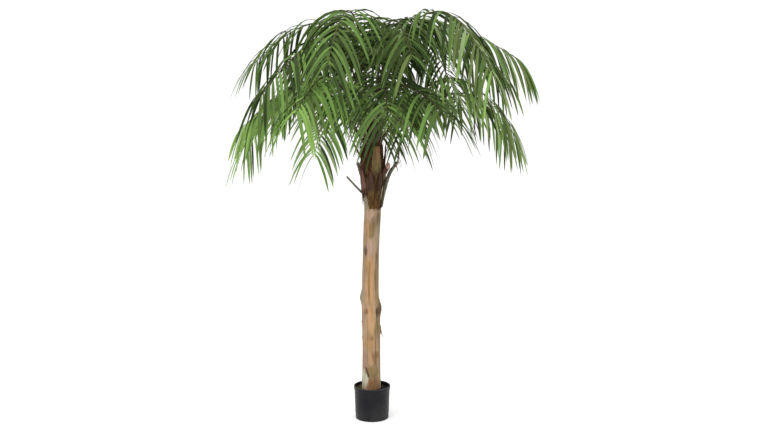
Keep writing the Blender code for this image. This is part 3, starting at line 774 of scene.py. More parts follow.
# The lower edge: its lift, its tatters, and the sector and height in which the wood is left bare
FOOT_LIFT, TATTERS = 0.003, 0.012
BARE_FROM, BARE_TO, BARE_HEIGHT, BARE_EDGE = 158, 244, 0.068, 18
FEATHER_HEIGHT = 0.032
# The ledges of the layers: height of a layer, depth, where along it the lip begins, and how much
# its height wanders round the collar
LEDGE_HEIGHT, LEDGE_DEPTH, LEDGE_LIP, LEDGE_WANDER = 0.078, 0.0040, 0.93, 0.06
COLLAR_LUMPS = ((0.0030, 3.2, (0, 2), 9), (0.0018, 11, (0, 0), 16), (0.0009, 30, (6, 0), 34))
# The core is slimmer at its upper left: by how much, from which height and over what height
SLIMMER, SLIMMER_FROM, SLIMMER_OVER = 0.0060, 1.33, 0.06


def collar_foot(azimuth):
    """The height of the ragged lower edge, which is cut away on one side."""
    inside = min(azimuth % 360 - BARE_FROM, BARE_TO - azimuth % 360) / BARE_EDGE + 0.5
    inside = min(1, max(0, inside))
    angle = math.radians(azimuth)
    ragged = noise.noise(Vector((math.cos(angle) * 3, math.sin(angle) * 3, 5)))
    bare = BARE_HEIGHT * inside * inside * (3 - 2 * inside)
    return COLLAR_LOW + FOOT_LIFT + bare + TATTERS * max(0, ragged)


def collar_radius(azimuth, height):
    """The core's radius with its ledges, ridges and lumps."""
    angle = math.radians(azimuth)
    across = Vector((math.cos(angle), math.sin(angle), 0))
    ledge = (height + LEDGE_WANDER * noise.noise(across * 2.2)) / LEDGE_HEIGHT
    ledge -= math.floor(ledge)
    lip = 1 if ledge < LEDGE_LIP else (1 - ledge) / (1 - LEDGE_LIP)
    out = lumpy(LEDGE_DEPTH * (ledge - 0.5) * lip, across, height, COLLAR_LUMPS)
    out -= SLIMMER * max(0, -across.x) * min(1, max(0, (height - SLIMMER_FROM) / SLIMMER_OVER))
    feather = 0.2 + 0.8 * min(1, max(0, (height - collar_foot(azimuth)) / FEATHER_HEIGHT))
    full = between(COLLAR_OUTLINE, height) + out - TRUNK_HEAD_RADIUS
    return TRUNK_HEAD_RADIUS + full * feather


# %% [markdown]
# The profile is a plain tube at first, with a hollow foot that hides in the trunk and a flat head.
# Its rings are lifted to the lower edge, the lowest the most, and its wall is moved to the radius.

# %% Spin the core
TUBE_RADIUS = 0.04
FOOT_HOLLOW = ((0, COLLAR_LOW + 0.03), (0.036, COLLAR_LOW))
HEAD_RADII = (0.03, 0.015, 0)
WALL_FROM = 0.038
LIFT_FADES = 2.4

collar_shape = bmesh.new()
collar_height = COLLAR_HIGH - COLLAR_LOW
collar_profile = [*FOOT_HOLLOW]
for ring in range(COLLAR_RINGS + 1):
    collar_profile.append((TUBE_RADIUS, COLLAR_LOW + collar_height * ring / COLLAR_RINGS))
collar_profile += [(radius, COLLAR_HIGH) for radius in HEAD_RADII]
spin_profile(collar_shape, collar_profile, COLLAR_SIDES)
for vertex in collar_shape.verts:
    radius = math.hypot(vertex.co.x, vertex.co.y)
    if radius > 0.001:
        azimuth = math.degrees(math.atan2(vertex.co.y, vertex.co.x))
        up = (vertex.co.z - COLLAR_LOW) / collar_height
        vertex.co.z += (collar_foot(azimuth) - COLLAR_LOW) * max(0, 1 - up * LIFT_FADES)
        if radius > WALL_FROM:
            scale = collar_radius(azimuth, vertex.co.z) / radius
            vertex.co.x *= scale
            vertex.co.y *= scale
bmesh.ops.translate(collar_shape, vec=(HEAD_SHIFT, 0, 0), verts=collar_shape.verts)

# %% [markdown]
# The fibre is dark and dry: red brown, black brown and a little olive, changing from one layer to
# the next. A fine grain breaks up the highlights, which are nearly absent.

# %% Brown fibre
FIBRE_GRAIN = 260.0
FIBRE_SHADOW = (0.020, 0.010, 0.006)
# For each kind: the name of its finish, its deep and light colours, and its shadow if it has one
FIBRES = {
    "red": ("red brown fibre", (0.085, 0.030, 0.016), (0.165, 0.070, 0.040)),
    "dark": ("dark fibre", (0.026, 0.014, 0.008), (0.070, 0.040, 0.022)),
    "olive": ("olive fibre", (0.085, 0.062, 0.022), (0.170, 0.130, 0.055)),
    "ochre": ("ochre fibre", (0.110, 0.055, 0.012), (0.200, 0.110, 0.035)),
    "maroon": ("maroon fibre", (0.050, 0.009, 0.005), (0.095, 0.028, 0.015)),
    "black": ("black fibre", (0.020, 0.009, 0.013), (0.045, 0.026, 0.034)),
    "rose": ("rose brown fibre", (0.130, 0.062, 0.042), (0.230, 0.125, 0.090)),
    "straw": ("straw fibre", (0.210, 0.150, 0.090), (0.400, 0.310, 0.200), (0.110, 0.075, 0.045)),
}
KINDS = list(FIBRES)


def fibre_finish(name, deep, light, shadow=FIBRE_SHADOW):
    """Dry brown fibre between two colours, with its grain along the height."""
    finish, tree, shader = new_finish(name, Roughness=0.95, Specular_IOR_Level=0.1)
    grain = use_group(finish, grain_group,
                      {"Scale": FIBRE_GRAIN, "Stretch": 0.16, "Broad Scale": 30.0})
    threads = blend_colours(tree, spread(tree, grain["Fine"], 0.38, 0.62), deep, light)
    shade = spread(tree, grain["Broad"], 0.36, 0.60, 0.85, 0.0)
    tree.links.new(blend_colours(tree, shade, threads, shadow), shader.inputs["Base Color"])
    raise_surface(tree, shader, grain["Fine"], 0.0016)
    return finish


fibre_finishes = [fibre_finish(*recipe) for recipe in FIBRES.values()]
print("kinds of fibre:", KINDS)

# %% [markdown]
# The layers differ: on the left they go from rose brown at the foot through maroon to nearly black
# at the top, and the front goes from ochre to red. Each zone is an oval with ragged edges.

# %% Sort the fibre into zones
# Azimuth, height, half width in degrees, half height, kind
ZONES = (
    (212, 1.385, 26, 0.052, "black"), (220, 1.295, 28, 0.046, "maroon"),
    (253, 1.345, 15, 0.090, "maroon"), (222, 1.212, 26, 0.046, "rose"),
    (262, 1.196, 13, 0.018, "olive"), (306, 1.190, 9, 0.030, "dark"),
    (278, 1.236, 40, 0.030, "red"), (272, 1.128, 30, 0.052, "ochre"),
    (335, 1.290, 16, 0.060, "dark"), (332, 1.130, 18, 0.050, "dark"),
    (30, 1.140, 34, 0.060, "ochre"), (60, 1.330, 30, 0.080, "dark"),
    (110, 1.240, 34, 0.060, "red"), (150, 1.380, 28, 0.070, "black"),
    (130, 1.140, 28, 0.050, "olive"),
)
RAGGED = 0.45


def kind_at(azimuth, height):
    """The kind of fibre at a place: its zone's, or dark and red in turn where none is."""
    patch = noise.noise(Vector((azimuth / 11, height * 26, 0)))
    for middle, level, wide, tall, kind in ZONES:
        side = (azimuth - middle + 180) % 360 - 180
        if math.hypot(side / wide, (height - level) / tall) < 1 + RAGGED * patch:
            return kind
    return "dark" if patch < 0.05 else "red"


for face in collar_shape.faces:
    middle = face.calc_center_median() - Vector((HEAD_SHIFT, 0, 0))
    azimuth = math.degrees(math.atan2(middle.y, middle.x))
    face.material_index = KINDS.index(kind_at(azimuth, middle.z))
keep(collar_shape, "collar", fibre_finishes, ["collar"])

# %% [markdown]
# ## Leaf bases
#
# Ten dry leaf bases stand out of the fibre in two whorls: thick upright scales with ridges along
# them. A broad one at the front is tan and olive, and the rest are darker and red brown. Each is
# swept along its line with a flattened section that changes unevenly, bent round the collar, and
# then roughened with noise along its normals. Short rounded knobs between them are bases that
# were cut close.

# %% List the leaf bases
BASE_THICKNESS = 0.0044
# For each whorl: the azimuth, breadth, length, rise and husk of its bases, then radius and height
# from foot to tip, and half widths
BASE_WHORLS = (
    ("lower", ((38, 1.0, 1.0, 0, "dark"), (140, 1.0, 1.0, 0, "red"), (222, 1.0, 0.8, 0.040, "rose"),
               (264, 0.9, 1.0, 0, "red"), (306, 0.75, 1.0, 0, "dark")),
     ((0.0500, 1.125), (0.0612, 1.180), (0.0685, 1.230), (0.0745, 1.280)),
     (0.012, 0.018, 0.015, 0.007)),
    ("upper", ((14, 1.0, 1.0, 0, "dark"), (74, 1.0, 1.0, 0, "maroon"), (146, 1.0, 1.0, 0, "dark"),
               (218, 1.0, 0.56, 0, "maroon"), (290, 1.6, 1.0, 0, "tan")),
     ((0.0545, 1.245), (0.0620, 1.300), (0.0660, 1.355), (0.0690, 1.405)),
     (0.014, 0.016, 0.014, 0.009)),
)
# How far a raised base moves outwards for each metre that it rises, as the collar widens
RISE_OUTWARDS = 0.1
HUSKS = ("tan", "dark", "red", "maroon", "rose", "knob")
BASE_SIDES = 22
BASE_STEPS = 8
# How much a base thins towards its tip, how uneven its width is, and its ridges: depth, scale
BASE_THINS, BASE_UNEVEN = 0.45, 0.22
BASE_RIDGES, KNOB_RIDGES = (0.0024, 240), (0.0022, 200)
KNOB_STRETCH = 1.25
# Knobs: azimuth, radius, height, size
BASE_KNOBS = ((262, 0.0600, 1.196, 0.0075), (352, 0.0600, 1.250, 0.0105), (338, 0.0520, 1.150, 0.0070),
              (205, 0.0550, 1.215, 0.0065), (60, 0.0545, 1.200, 0.0080), (170, 0.0560, 1.300, 0.0070),
              (110, 0.0540, 1.160, 0.0075))


# %% Roughen and bend a part of a mesh
RIDGE_STRETCH = 0.14


def roughen(shape, vertices, ridge, scale, seed):
    """Move vertices along their normals by noise that is stretched along the height."""
    shape.normal_update()
    for vertex in vertices:
        x, y, z = vertex.co
        point = Vector((x * scale, y * scale, z * scale * RIDGE_STRETCH + seed))
        vertex.co += vertex.normal * ridge * noise.noise(point)


def wrap_round(vertices, azimuth):
    """Bend vertices back round the collar, the more the further they lie from the azimuth."""
    ahead = polar(azimuth, 1, 0)
    aside = polar(azimuth + 90, 1, 0)
    for vertex in vertices:
        vertex.co -= ahead * aside.dot(vertex.co) ** 2 / (2 * ahead.dot(vertex.co))


# %% Sweep the leaf bases
bases_shape = bmesh.new()
base_names = []
base_faces = []
for level, azimuths, corners, halves in BASE_WHORLS:
    for number, (azimuth, breadth, length, rise, husk) in enumerate(azimuths, 1):
        name = f"leaf_base_{level}_{number}"
        before = len(bases_shape.verts)
        raised = Vector((RISE_OUTWARDS * rise, rise))
        line = [Vector(corners[0]).lerp(Vector(corner), length) + raised for corner in corners]
        points = smooth_line([polar(azimuth, *corner) for corner in line], BASE_STEPS)
        last = len(points) - 1
        table = [(i / (len(halves) - 1), half * breadth) for i, half in enumerate(halves)]
        sizes = []
        for i in range(last + 1):
            uneven = 1 + BASE_UNEVEN * noise.noise(Vector((azimuth, i * 0.35, 2)))
            thick = BASE_THICKNESS * (1 - BASE_THINS * i / last)
            sizes.append((thick, between(table, i / last) * uneven))
        sweep(bases_shape, azimuth, points, sizes, BASE_SIDES, HUSKS.index(husk))
        bases_shape.verts.ensure_lookup_table()
        wrap_round(bases_shape.verts[before:], azimuth)
        roughen(bases_shape, bases_shape.verts[before:], *BASE_RIDGES, azimuth)
        base_names.append(name)
        base_faces.append((azimuth, breadth, line))

# %% Add the knobs
for azimuth, radius, height, size in BASE_KNOBS:
    before = len(bases_shape.verts)
    stretch = Matrix.Diagonal((1, 1, KNOB_STRETCH, 1))
    place = Matrix.Translation(polar(azimuth, radius, height)) @ stretch
    bmesh.ops.create_uvsphere(bases_shape, u_segments=16, v_segments=10, radius=size, matrix=place)
    bases_shape.verts.ensure_lookup_table()
    roughen(bases_shape, bases_shape.verts[before:], *KNOB_RIDGES, azimuth)
    for vertex in bases_shape.verts[before:]:
        for face in vertex.link_faces:
            face.material_index = HUSKS.index("knob")
bmesh.ops.recalc_face_normals(bases_shape, faces=bases_shape.faces)
bmesh.ops.translate(bases_shape, vec=(HEAD_SHIFT, 0, 0), verts=bases_shape.verts)
print("leaf bases:", len(base_names), "and", len(BASE_KNOBS), "knobs")

# %% [markdown]
# A dry husk has long grain between a deep and a light colour, and darker stretches. Some turn to
# another colour towards their tip, and some are yellower at the foot.

# %% Dry husk
TURNS_OVER = 0.025
FOOT_FROM, FOOT_TO = 1.165, 1.190


def husk_finish(name, deep, light, shadow, top=None, turns_at=0, foot=None):
    """A dry husk between two colours, which may turn to a third above a height."""
    finish, tree, shader = new_finish(name, Specular_IOR_Level=0.15)
    grain = use_group(finish, grain_group, {"Scale": 150.0, "Stretch": 0.06, "Broad Scale": 34.0})
    dust = use_group(finish, dust_group, {"Patch Scale": 30.0, "Speck Scale": 380.0})
    height = object_axis(tree, "Z")
    if top:
        turned = spread(tree, height, turns_at, turns_at + TURNS_OVER)
        light = blend_colours(tree, turned, light, top)
    husk = blend_colours(tree, spread(tree, grain["Fine"], 0.36, 0.62), deep, light)
    shade = spread(tree, grain["Broad"], 0.38, 0.58, 0.75, 0.0)
    shaded = blend_colours(tree, shade, husk, shadow)
    if foot:
        low = spread(tree, height, FOOT_FROM, FOOT_TO, 0.75, 0.0)
        shaded = blend_colours(tree, low, shaded, foot)
    specks = arithmetic(tree, "MULTIPLY", dust["Specks"], 0.3)
    tree.links.new(blend_colours(tree, specks, shaded, light), shader.inputs["Base Color"])
    tree.links.new(spread(tree, grain["Fine"], 0.3, 0.7, 0.72, 0.92), shader.inputs["Roughness"])
    raise_surface(tree, shader, grain["Fine"], 0.0012)
    return finish


husks = {
    "tan": husk_finish("tan leaf base", (0.082, 0.060, 0.020), (0.165, 0.128, 0.048),
                       (0.050, 0.034, 0.014), (0.185, 0.098, 0.044), 1.320),
    "dark": husk_finish("dark leaf base", (0.024, 0.013, 0.008), (0.062, 0.035, 0.019),
                        (0.012, 0.006, 0.004), foot=(0.070, 0.045, 0.018)),
    "red": husk_finish("red leaf base", (0.050, 0.028, 0.016), (0.105, 0.064, 0.036),
                       (0.026, 0.012, 0.007), (0.130, 0.056, 0.037), 1.200, (0.105, 0.060, 0.016)),
    "maroon": husk_finish("maroon leaf base", (0.045, 0.009, 0.005), (0.085, 0.026, 0.014),
                          (0.022, 0.005, 0.004)),
    "rose": husk_finish("rose leaf base", (0.080, 0.036, 0.025), (0.155, 0.082, 0.058),
                        (0.045, 0.020, 0.013)),
    "knob": husk_finish("olive leaf base", (0.070, 0.054, 0.026), (0.150, 0.120, 0.066),
                        (0.030, 0.022, 0.012)),
}
keep(bases_shape, "leaf_bases", [husks[husk] for husk in HUSKS], base_names)

# %% [markdown]
# ## Stubs
#
# Stalks that were cut off leave stubs between the bases. The one on the right is thick and bends
# out of the fibre like a branch, the front one is broad and was sawn aslant, and the rest are
# short and nearly straight. A cut end is inset twice, once for the rind and once for the hollow in
# the paler pith.

# %% List the stubs
# Azimuth, and from foot to end the radius, height and thickness
STUBS = {
    "stub_right": (0, ((0.0475, 1.095, 0.0045), (0.0540, 1.150, 0.0080), (0.0650, 1.199, 0.0098),
                       (0.0745, 1.236, 0.0100), (0.0965, 1.284, 0.0092), (0.1285, 1.325, 0.0072))),
    "stub_front": (338, ((0.0480, 1.238, 0.0115), (0.0680, 1.278, 0.0130),
                         (0.0920, 1.320, 0.0135))),
    "stub_left": (182, ((0.0485, 1.164, 0.0052), (0.1300, 1.251, 0.0046))),
    "stub_left_upper": (188, ((0.0500, 1.235, 0.0075), (0.0640, 1.285, 0.0085),
                              (0.0745, 1.322, 0.0075))),
    "stub_back": (90, ((0.0510, 1.168, 0.0068), (0.1120, 1.262, 0.0052))),
}
FOOT_TAPER = 0.35
# The stub that was sawn aslant, how far its cut is turned to the front, and how far along it starts
SLANTED, SLANT, SAWN_AT = "stub_front", 50, 0.84
STUB_STEPS = 6
STUB_SIDES = 16
# The width of the rind, the width and depth of the hollow and the ridges, as shares of the radius
RIND, PITH_SLOPE, PITH_HOLLOW, STUB_RIDGES, STUB_RIDGE_SCALE = 0.12, 0.30, 0.20, 0.26, 300


# %% Sweep the stubs and cut their ends
def saw(shape, vertices, foot, tip, facing):
    """Cut the part that these vertices make with a plane, and close the cut with a face."""
    geometry = dict.fromkeys(vertices)
    for vertex in vertices:
        geometry.update(dict.fromkeys([*vertex.link_edges, *vertex.link_faces]))
    sawn = bmesh.ops.bisect_plane(shape, geom=list(geometry), clear_outer=True, plane_no=facing,
                                  plane_co=foot.lerp(tip, SAWN_AT))["geom_cut"]
    edges = [part for part in sawn if isinstance(part, bmesh.types.BMEdge)]
    return bmesh.ops.contextual_create(shape, geom=edges)["faces"][0]


stubs_shape = bmesh.new()
for name, (azimuth, line) in STUBS.items():
    before = len(stubs_shape.verts)
    points = smooth_line([polar(azimuth, radius, height) for radius, height, _ in line], STUB_STEPS)
    table = [(i / (len(line) - 1), corner[2]) for i, corner in enumerate(line)]
    sizes = [(between(table, i / (len(points) - 1)),) * 2 for i in range(len(points))]
    sizes[0] = (sizes[0][0] * FOOT_TAPER,) * 2
    cut = sweep(stubs_shape, azimuth, points, sizes, STUB_SIDES)
    stubs_shape.verts.ensure_lookup_table()
    if name == SLANTED:
        facing = Matrix.Rotation(math.radians(SLANT), 3, "X") @ (points[-1] - points[-2])
        cut = saw(stubs_shape, stubs_shape.verts[before:], points[0], points[-1], facing)
    radius = line[-1][2]
    bmesh.ops.inset_region(stubs_shape, faces=[cut], thickness=radius * RIND, depth=0)
    slope = bmesh.ops.inset_region(stubs_shape, faces=[cut], thickness=radius * PITH_SLOPE,
                                   depth=-radius * PITH_HOLLOW)["faces"]
    for face in [cut, *slope]:
        face.material_index = 1
    stubs_shape.verts.ensure_lookup_table()
    own = stubs_shape.verts[before:]
    roughen(stubs_shape, own, radius * STUB_RIDGES, STUB_RIDGE_SCALE, azimuth)
    if name == SLANTED:
        for face in {face for vertex in own for face in vertex.link_faces}:
            face.material_index = face.material_index or 2
bmesh.ops.recalc_face_normals(stubs_shape, faces=stubs_shape.faces)
bmesh.ops.translate(stubs_shape, vec=(HEAD_SHIFT, 0, 0), verts=stubs_shape.verts)

# %% Stub husk and pith
stub_husk = husk_finish("stub husk", (0.060, 0.048, 0.034), (0.165, 0.150, 0.110),
                        (0.030, 0.020, 0.015))
pith = husk_finish("cut pith", (0.360, 0.210, 0.165), (0.560, 0.390, 0.320), (0.250, 0.130, 0.100))
keep(stubs_shape, "stubs", [stub_husk, pith, husks["rose"]], list(STUBS))

# %% [markdown]
# ## Strands of fibre
#
# A strand is a four-sided thread, thinner at both ends. Most run up the collar with a slight
# lean, some cross them slantwise as the threads of a leaf sheath do, and a fringe hangs from the
# lower edge down the wood. Others bind the feet of the leaf bases and fray out from their tips.
# Each follows the core's own radius function, so it lies on the core.

# %% Make the template of a strand
STRAND_STEPS = 7
STRAND_SIDES = 4
THINNEST = 0.25
PARTS = [step / STRAND_STEPS for step in range(STRAND_STEPS + 1)]

strand_shape = bmesh.new()
strand_sizes = [(max(THINNEST, math.sin(math.pi * (0.08 + 0.84 * part)) ** 0.5),) * 2
                for part in PARTS]
sweep(strand_shape, 0, [Vector((0, 0, part)) for part in PARTS], strand_sizes, STRAND_SIDES)
bmesh.ops.rotate(strand_shape, verts=strand_shape.verts, cent=(0, 0, 0),
                 matrix=Matrix.Rotation(math.pi / 2, 3, "Y"))
bmesh.ops.recalc_face_normals(strand_shape, faces=strand_shape.faces)
strand_template = as_template(strand_shape, "strand template")


# %% Describe a strand
MIXED = 0.25
MIXED_KINDS = ("red", "dark", "olive", "ochre")


def strand(points, thickness, kind):
    """One line for bend_copies, with its side and face vectors as long as it is thick."""
    sides = []
    ups = []
    for i, point in enumerate(points):
        way = (points[min(i + 1, len(points) - 1)] - points[max(i - 1, 0)]).normalized()
        side = way.cross(Vector((point.x, point.y, 0)).normalized()).normalized()
        sides.append(side * thickness)
        ups.append(way.cross(side).normalized() * thickness)
    return points, sides, ups, KINDS.index(kind)


def mixed_kind(azimuth, height):
    """The kind of the zone mostly, with one strand in four of another kind among them."""
    if random.random() < MIXED:
        return random.choice(MIXED_KINDS)
    return kind_at(azimuth, height)


fibre_lines = []


def add_strand(points, thinnest, thickest, azimuth, height):
    thickness = random.uniform(thinnest, thickest)
    fibre_lines.append(strand(points, thickness, mixed_kind(azimuth, height)))


# %% Lay strands up and across the collar
random.seed(23)
# How many strands, and the range of their thickness and length
UPRIGHT, UPRIGHT_THICKNESS, UPRIGHT_LENGTH = 640, (0.0005, 0.0012), (0.05, 0.17)
CROSSING, CROSSING_THICKNESS, CROSSING_LENGTH = 230, (0.0004, 0.0008), (0.03, 0.09)
# How much the upright ones lean as a rule, and the range of the crossing ones' slant
LEAN, SLANTS = 0.13, (0.6, 1.1)
# How far a strand lies off the core, and how much further it stands off at its end
STAND_OFF = 0.0009
FLICKS, CROSSING_FLICK = (0, 0, 0.001, 0.002, 0.004, 0.009), 0.0006


def strand_on_collar(azimuth, height, length, slant, flick):
    """Points up the collar from a start, leaning by the slant and standing off at the top."""
    points = []
    for part in PARTS:
        level = height + length * math.cos(slant) * part
        radius = collar_radius(azimuth, min(level, COLLAR_HIGH)) + STAND_OFF
        turn = math.degrees(length * math.sin(slant) * part / radius)
        radius += flick * part ** 3 + 0.0010 * noise.noise(Vector((azimuth, part * 4, height * 40)))
        points.append(polar(azimuth + turn, radius, level))
    return points


for _ in range(UPRIGHT):
    azimuth = random.uniform(0, 360)
    height = random.uniform(collar_foot(azimuth), COLLAR_HIGH - 0.06)
    length = min(random.uniform(*UPRIGHT_LENGTH), COLLAR_HIGH + 0.025 - height)
    flick = random.choice(FLICKS)
    points = strand_on_collar(azimuth, height, length, random.gauss(0, LEAN), flick)
    add_strand(points, *UPRIGHT_THICKNESS, azimuth, height)
for _ in range(CROSSING):
    azimuth = random.uniform(0, 360)
    height = random.uniform(collar_foot(azimuth) + 0.01, COLLAR_HIGH - 0.09)
    slant = random.choice((-1, 1)) * random.uniform(*SLANTS)
    length = random.uniform(*CROSSING_LENGTH)
    points = strand_on_collar(azimuth, height, length, slant, CROSSING_FLICK)
    add_strand(points, *CROSSING_THICKNESS, azimuth, height)

# %% Hang the fringe
FRINGE, FRINGE_THICKNESS, FRINGE_LENGTH = 190, (0.0004, 0.0009), (0.004, 0.018)
# How far above the collar's lower edge a thread starts, and how far round it drifts, in degrees
FRINGE_ABOVE, FRINGE_DRIFT = (0.002, 0.020), 5

for _ in range(FRINGE):
    azimuth = random.uniform(0, 360)
    top = collar_foot(azimuth) + random.uniform(*FRINGE_ABOVE)
    length = random.uniform(*FRINGE_LENGTH)
    radius = collar_radius(azimuth, top) + 0.0008
    drift = FRINGE_DRIFT * noise.noise(Vector((azimuth, 0, top * 9)))
    points = [polar(azimuth + drift * part, radius - 0.0010 * part, top - length * part)
              for part in PARTS]
    add_strand(points, *FRINGE_THICKNESS, azimuth, top)

# %% Bind the feet of the leaf bases and fray their tips
# How many on each base, the range of their thickness, and how far aside they start, in degrees
BINDING, BINDING_THICKNESS, BINDING_ASIDE = 16, (0.0004, 0.0009), 17
FRAY, FRAY_THICKNESS, FRAY_ASIDE = 9, (0.0004, 0.0008), 5
# How far up the first part of a base the binding reaches, and the length and spread of the fray
BINDING_REACH, FRAY_LENGTH, FRAY_SPREAD = (0.3, 0.9), (0.02, 0.055), 6

for azimuth, breadth, line in base_faces:
    foot, tip = line[0], line[-1]
    for _ in range(BINDING):
        start = azimuth + random.uniform(-BINDING_ASIDE, BINDING_ASIDE) * breadth
        reach = random.uniform(*BINDING_REACH)
        points = []
        for part in PARTS:
            radius, height = foot.lerp(line[1], reach * part - 0.2 * (1 - part))
            lean = random.uniform(-1, 1)
            points.append(polar(start + lean, radius + BASE_THICKNESS + 0.0012,
                                height - 0.01 * (1 - part)))
        add_strand(points, *BINDING_THICKNESS, azimuth, foot[1])
    for _ in range(FRAY):
        start = azimuth + random.uniform(-FRAY_ASIDE, FRAY_ASIDE) * breadth
        spread_out = random.uniform(-FRAY_SPREAD, FRAY_SPREAD)
        length = random.uniform(*FRAY_LENGTH)
        radius, height = tip
        points = [polar(start + spread_out * part, radius + 0.006 * part ** 2 - 0.001,
                        height - 0.02 + length * part) for part in PARTS]
        add_strand(points, *FRAY_THICKNESS, azimuth, height)

# %% [markdown]
# A few wider strips are placed one by one. A pale one lies down the right of the front, two of dry
# sheath stand off the upper left, and one goes on from the end of the thick stub.

# %% Add the strips and keep the fibre
# Azimuth at the start and at the end, radius and height at each, thickness, kind
STRIPS = ((319, 316, (0.0700, 1.205), (0.0510, 1.115), 0.0042, "straw"),
          (186, 186, (0.0480, 1.325), (0.1010, 1.433), 0.0052, "olive"),
          (184, 184, (0.0560, 1.325), (0.0590, 1.385), 0.0022, "olive"),
          (0, 0, (0.1270, 1.318), (0.1360, 1.385), 0.0042, "olive"))

for start, end, foot, tip, thickness, kind in STRIPS:
    strip = [polar(start + (end - start) * part, *Vector(foot).lerp(Vector(tip), part))
             for part in PARTS]
    fibre_lines.append(strand(strip, thickness, kind))
fibre_shape = bend_copies(strand_template, fibre_lines)
bmesh.ops.translate(fibre_shape, vec=(HEAD_SHIFT, 0, 0), verts=fibre_shape.verts)
print(len(fibre_lines), "strands")
keep(fibre_shape, "fibre_strands", fibre_finishes, ["collar"])

# %% [markdown]
# ## How a frond grows
#
# A frond's rib rises from the collar to a crest and then falls to its tip. Two Bezier curves that
# meet level at the crest describe it, each from a start, a bend that it aims for, and an end.
# The table gives every frond a ring to start from, a direction, its crest and its tip, so the
# crown follows the same rule as the solids of the frame.

# %% The table of fronds
# Ring: radius, height, rise in degrees and length of bare stalk
RINGS = {
    "inner": (0.014, 1.485, 85, 0.34),
    "top": (0.033, 1.485, 82, 0.34),
    "side": (0.036, 1.412, 58, 0.19),
}
# Frond: ring, azimuth, crest radius and height, tip radius and height
FRONDS = (
    ("inner", 165, 0.270, 2.026, 0.631, 1.829),
    ("top", 214, 0.220, 1.933, 0.617, 1.640),
    ("top", 248, 0.278, 2.042, 0.519, 1.771),
    ("inner", 357, 0.201, 2.033, 0.740, 1.825),
    ("top", 321, 0.398, 2.040, 0.713, 1.731),
    ("top", 291, 0.289, 1.999, 0.512, 1.802),
    ("top", 9, 0.251, 2.008, 0.670, 1.773),
    ("top", 190, 0.212, 1.913, 0.432, 1.627),
    ("top", 42, 0.219, 2.048, 0.649, 1.617),
    ("top", 87, 0.238, 2.020, 0.732, 1.445),
    ("top", 132, 0.174, 2.074, 0.638, 1.671),
    ("side", 196, 0.265, 1.731, 0.634, 1.508),
    ("side", 237, 0.369, 1.735, 0.608, 1.565),
    ("side", 279, 0.266, 1.741, 0.510, 1.530),
    ("side", 304, 0.255, 1.694, 0.559, 1.570),
    ("side", 344, 0.401, 1.738, 0.710, 1.491),
    ("side", 11, 0.477, 1.672, 0.717, 1.474),
    ("side", 66, 0.338, 1.742, 0.514, 1.485),
    ("side", 121, 0.399, 1.664, 0.640, 1.343),
    ("side", 166, 0.318, 1.728, 0.691, 1.397),
)
# How far out from the crest the tip still aims level, and how far a stalk may lean out to rise
CREST_BOW = 0.42
STALK_LEAN = 0.8
RIB_POINTS = 48


# %% Draw a rib's line
def arc(start, bend, end):
    return interpolate_bezier(start, start.lerp(bend, 2 / 3), end.lerp(bend, 2 / 3), end,
                              RIB_POINTS)


def rib_line(frond):
    """The whole line of a rib in its own XZ plane, from its foot over the crest to its tip."""
    ring, _, crest_radius, crest_height, tip_radius, tip_height = frond
    radius, height, rise, _ = RINGS[ring]
    crest = Vector((crest_radius, 0, crest_height))
    lean = (crest_height - height) / math.tan(math.radians(rise))
    bend_radius = min(radius + lean, radius + STALK_LEAN * (crest_radius - radius))
    level = crest_radius + CREST_BOW * (tip_radius - crest_radius)
    rising = arc(Vector((radius, 0, height)), Vector((bend_radius, 0, crest_height)), crest)
    falling = arc(crest, Vector((level, 0, crest_height)), Vector((tip_radius, 0, tip_height)))
    return rising + falling[1:]


def length_of(points):
    return sum((b - a).length for a, b in zip(points, points[1:]))


def walk(points, distance):
    """The point and the direction at a distance along a line of points."""
    for a, b in zip(points, points[1:]):
        step = (b - a).length
        if distance <= step:
            return a.lerp(b, distance / step), (b - a).normalized()
        distance -= step
    return points[-1].copy(), (points[-1] - points[-2]).normalized()


# %% [markdown]
# ## The ribs
#
# Each stalk is flattened and wide where it leaves the fibre, then round, and thins towards its
# tip. It is a sweep along the rib's line, turned to the frond's own direction.

# %% Sweep the ribs
RIB_FOOT_RADIUS = 0.0066
RIB_TIP_RADIUS = 0.0016
RIB_STEP = 0.016
RIB_SIDES = 8
# A stalk's foot is wider: over what length, and by how much in thickness and in width
SHEATH_LENGTH = 0.20
SHEATH_THICKER, SHEATH_WIDER = 0.10, 0.5

ribs_shape = bmesh.new()
for frond in FRONDS:
    line = rib_line(frond)
    total = length_of(line)
    count = math.ceil(total / RIB_STEP)
    azimuth = frond[1]
    turn = Matrix.Rotation(math.radians(azimuth), 3, "Z")
    points = [turn @ walk(line, total * i / count)[0] for i in range(count + 1)]
    sizes = []
    for i in range(count + 1):
        along = total * i / count
        radius = RIB_FOOT_RADIUS + (RIB_TIP_RADIUS - RIB_FOOT_RADIUS) * along / total
        swell = math.exp(-(along / SHEATH_LENGTH) ** 2)
        sizes.append((radius * (1 + SHEATH_THICKER * swell), radius * (1 + SHEATH_WIDER * swell)))
    sweep(ribs_shape, azimuth, points, sizes, RIB_SIDES)
bmesh.ops.recalc_face_normals(ribs_shape, faces=ribs_shape.faces)

# %% [markdown]
# A stalk is woody brown in the heart of the crown and turns green as it rises out of it.

# %% Stalk brown
GREEN_FROM, GREEN_TO = 1.68, 1.92

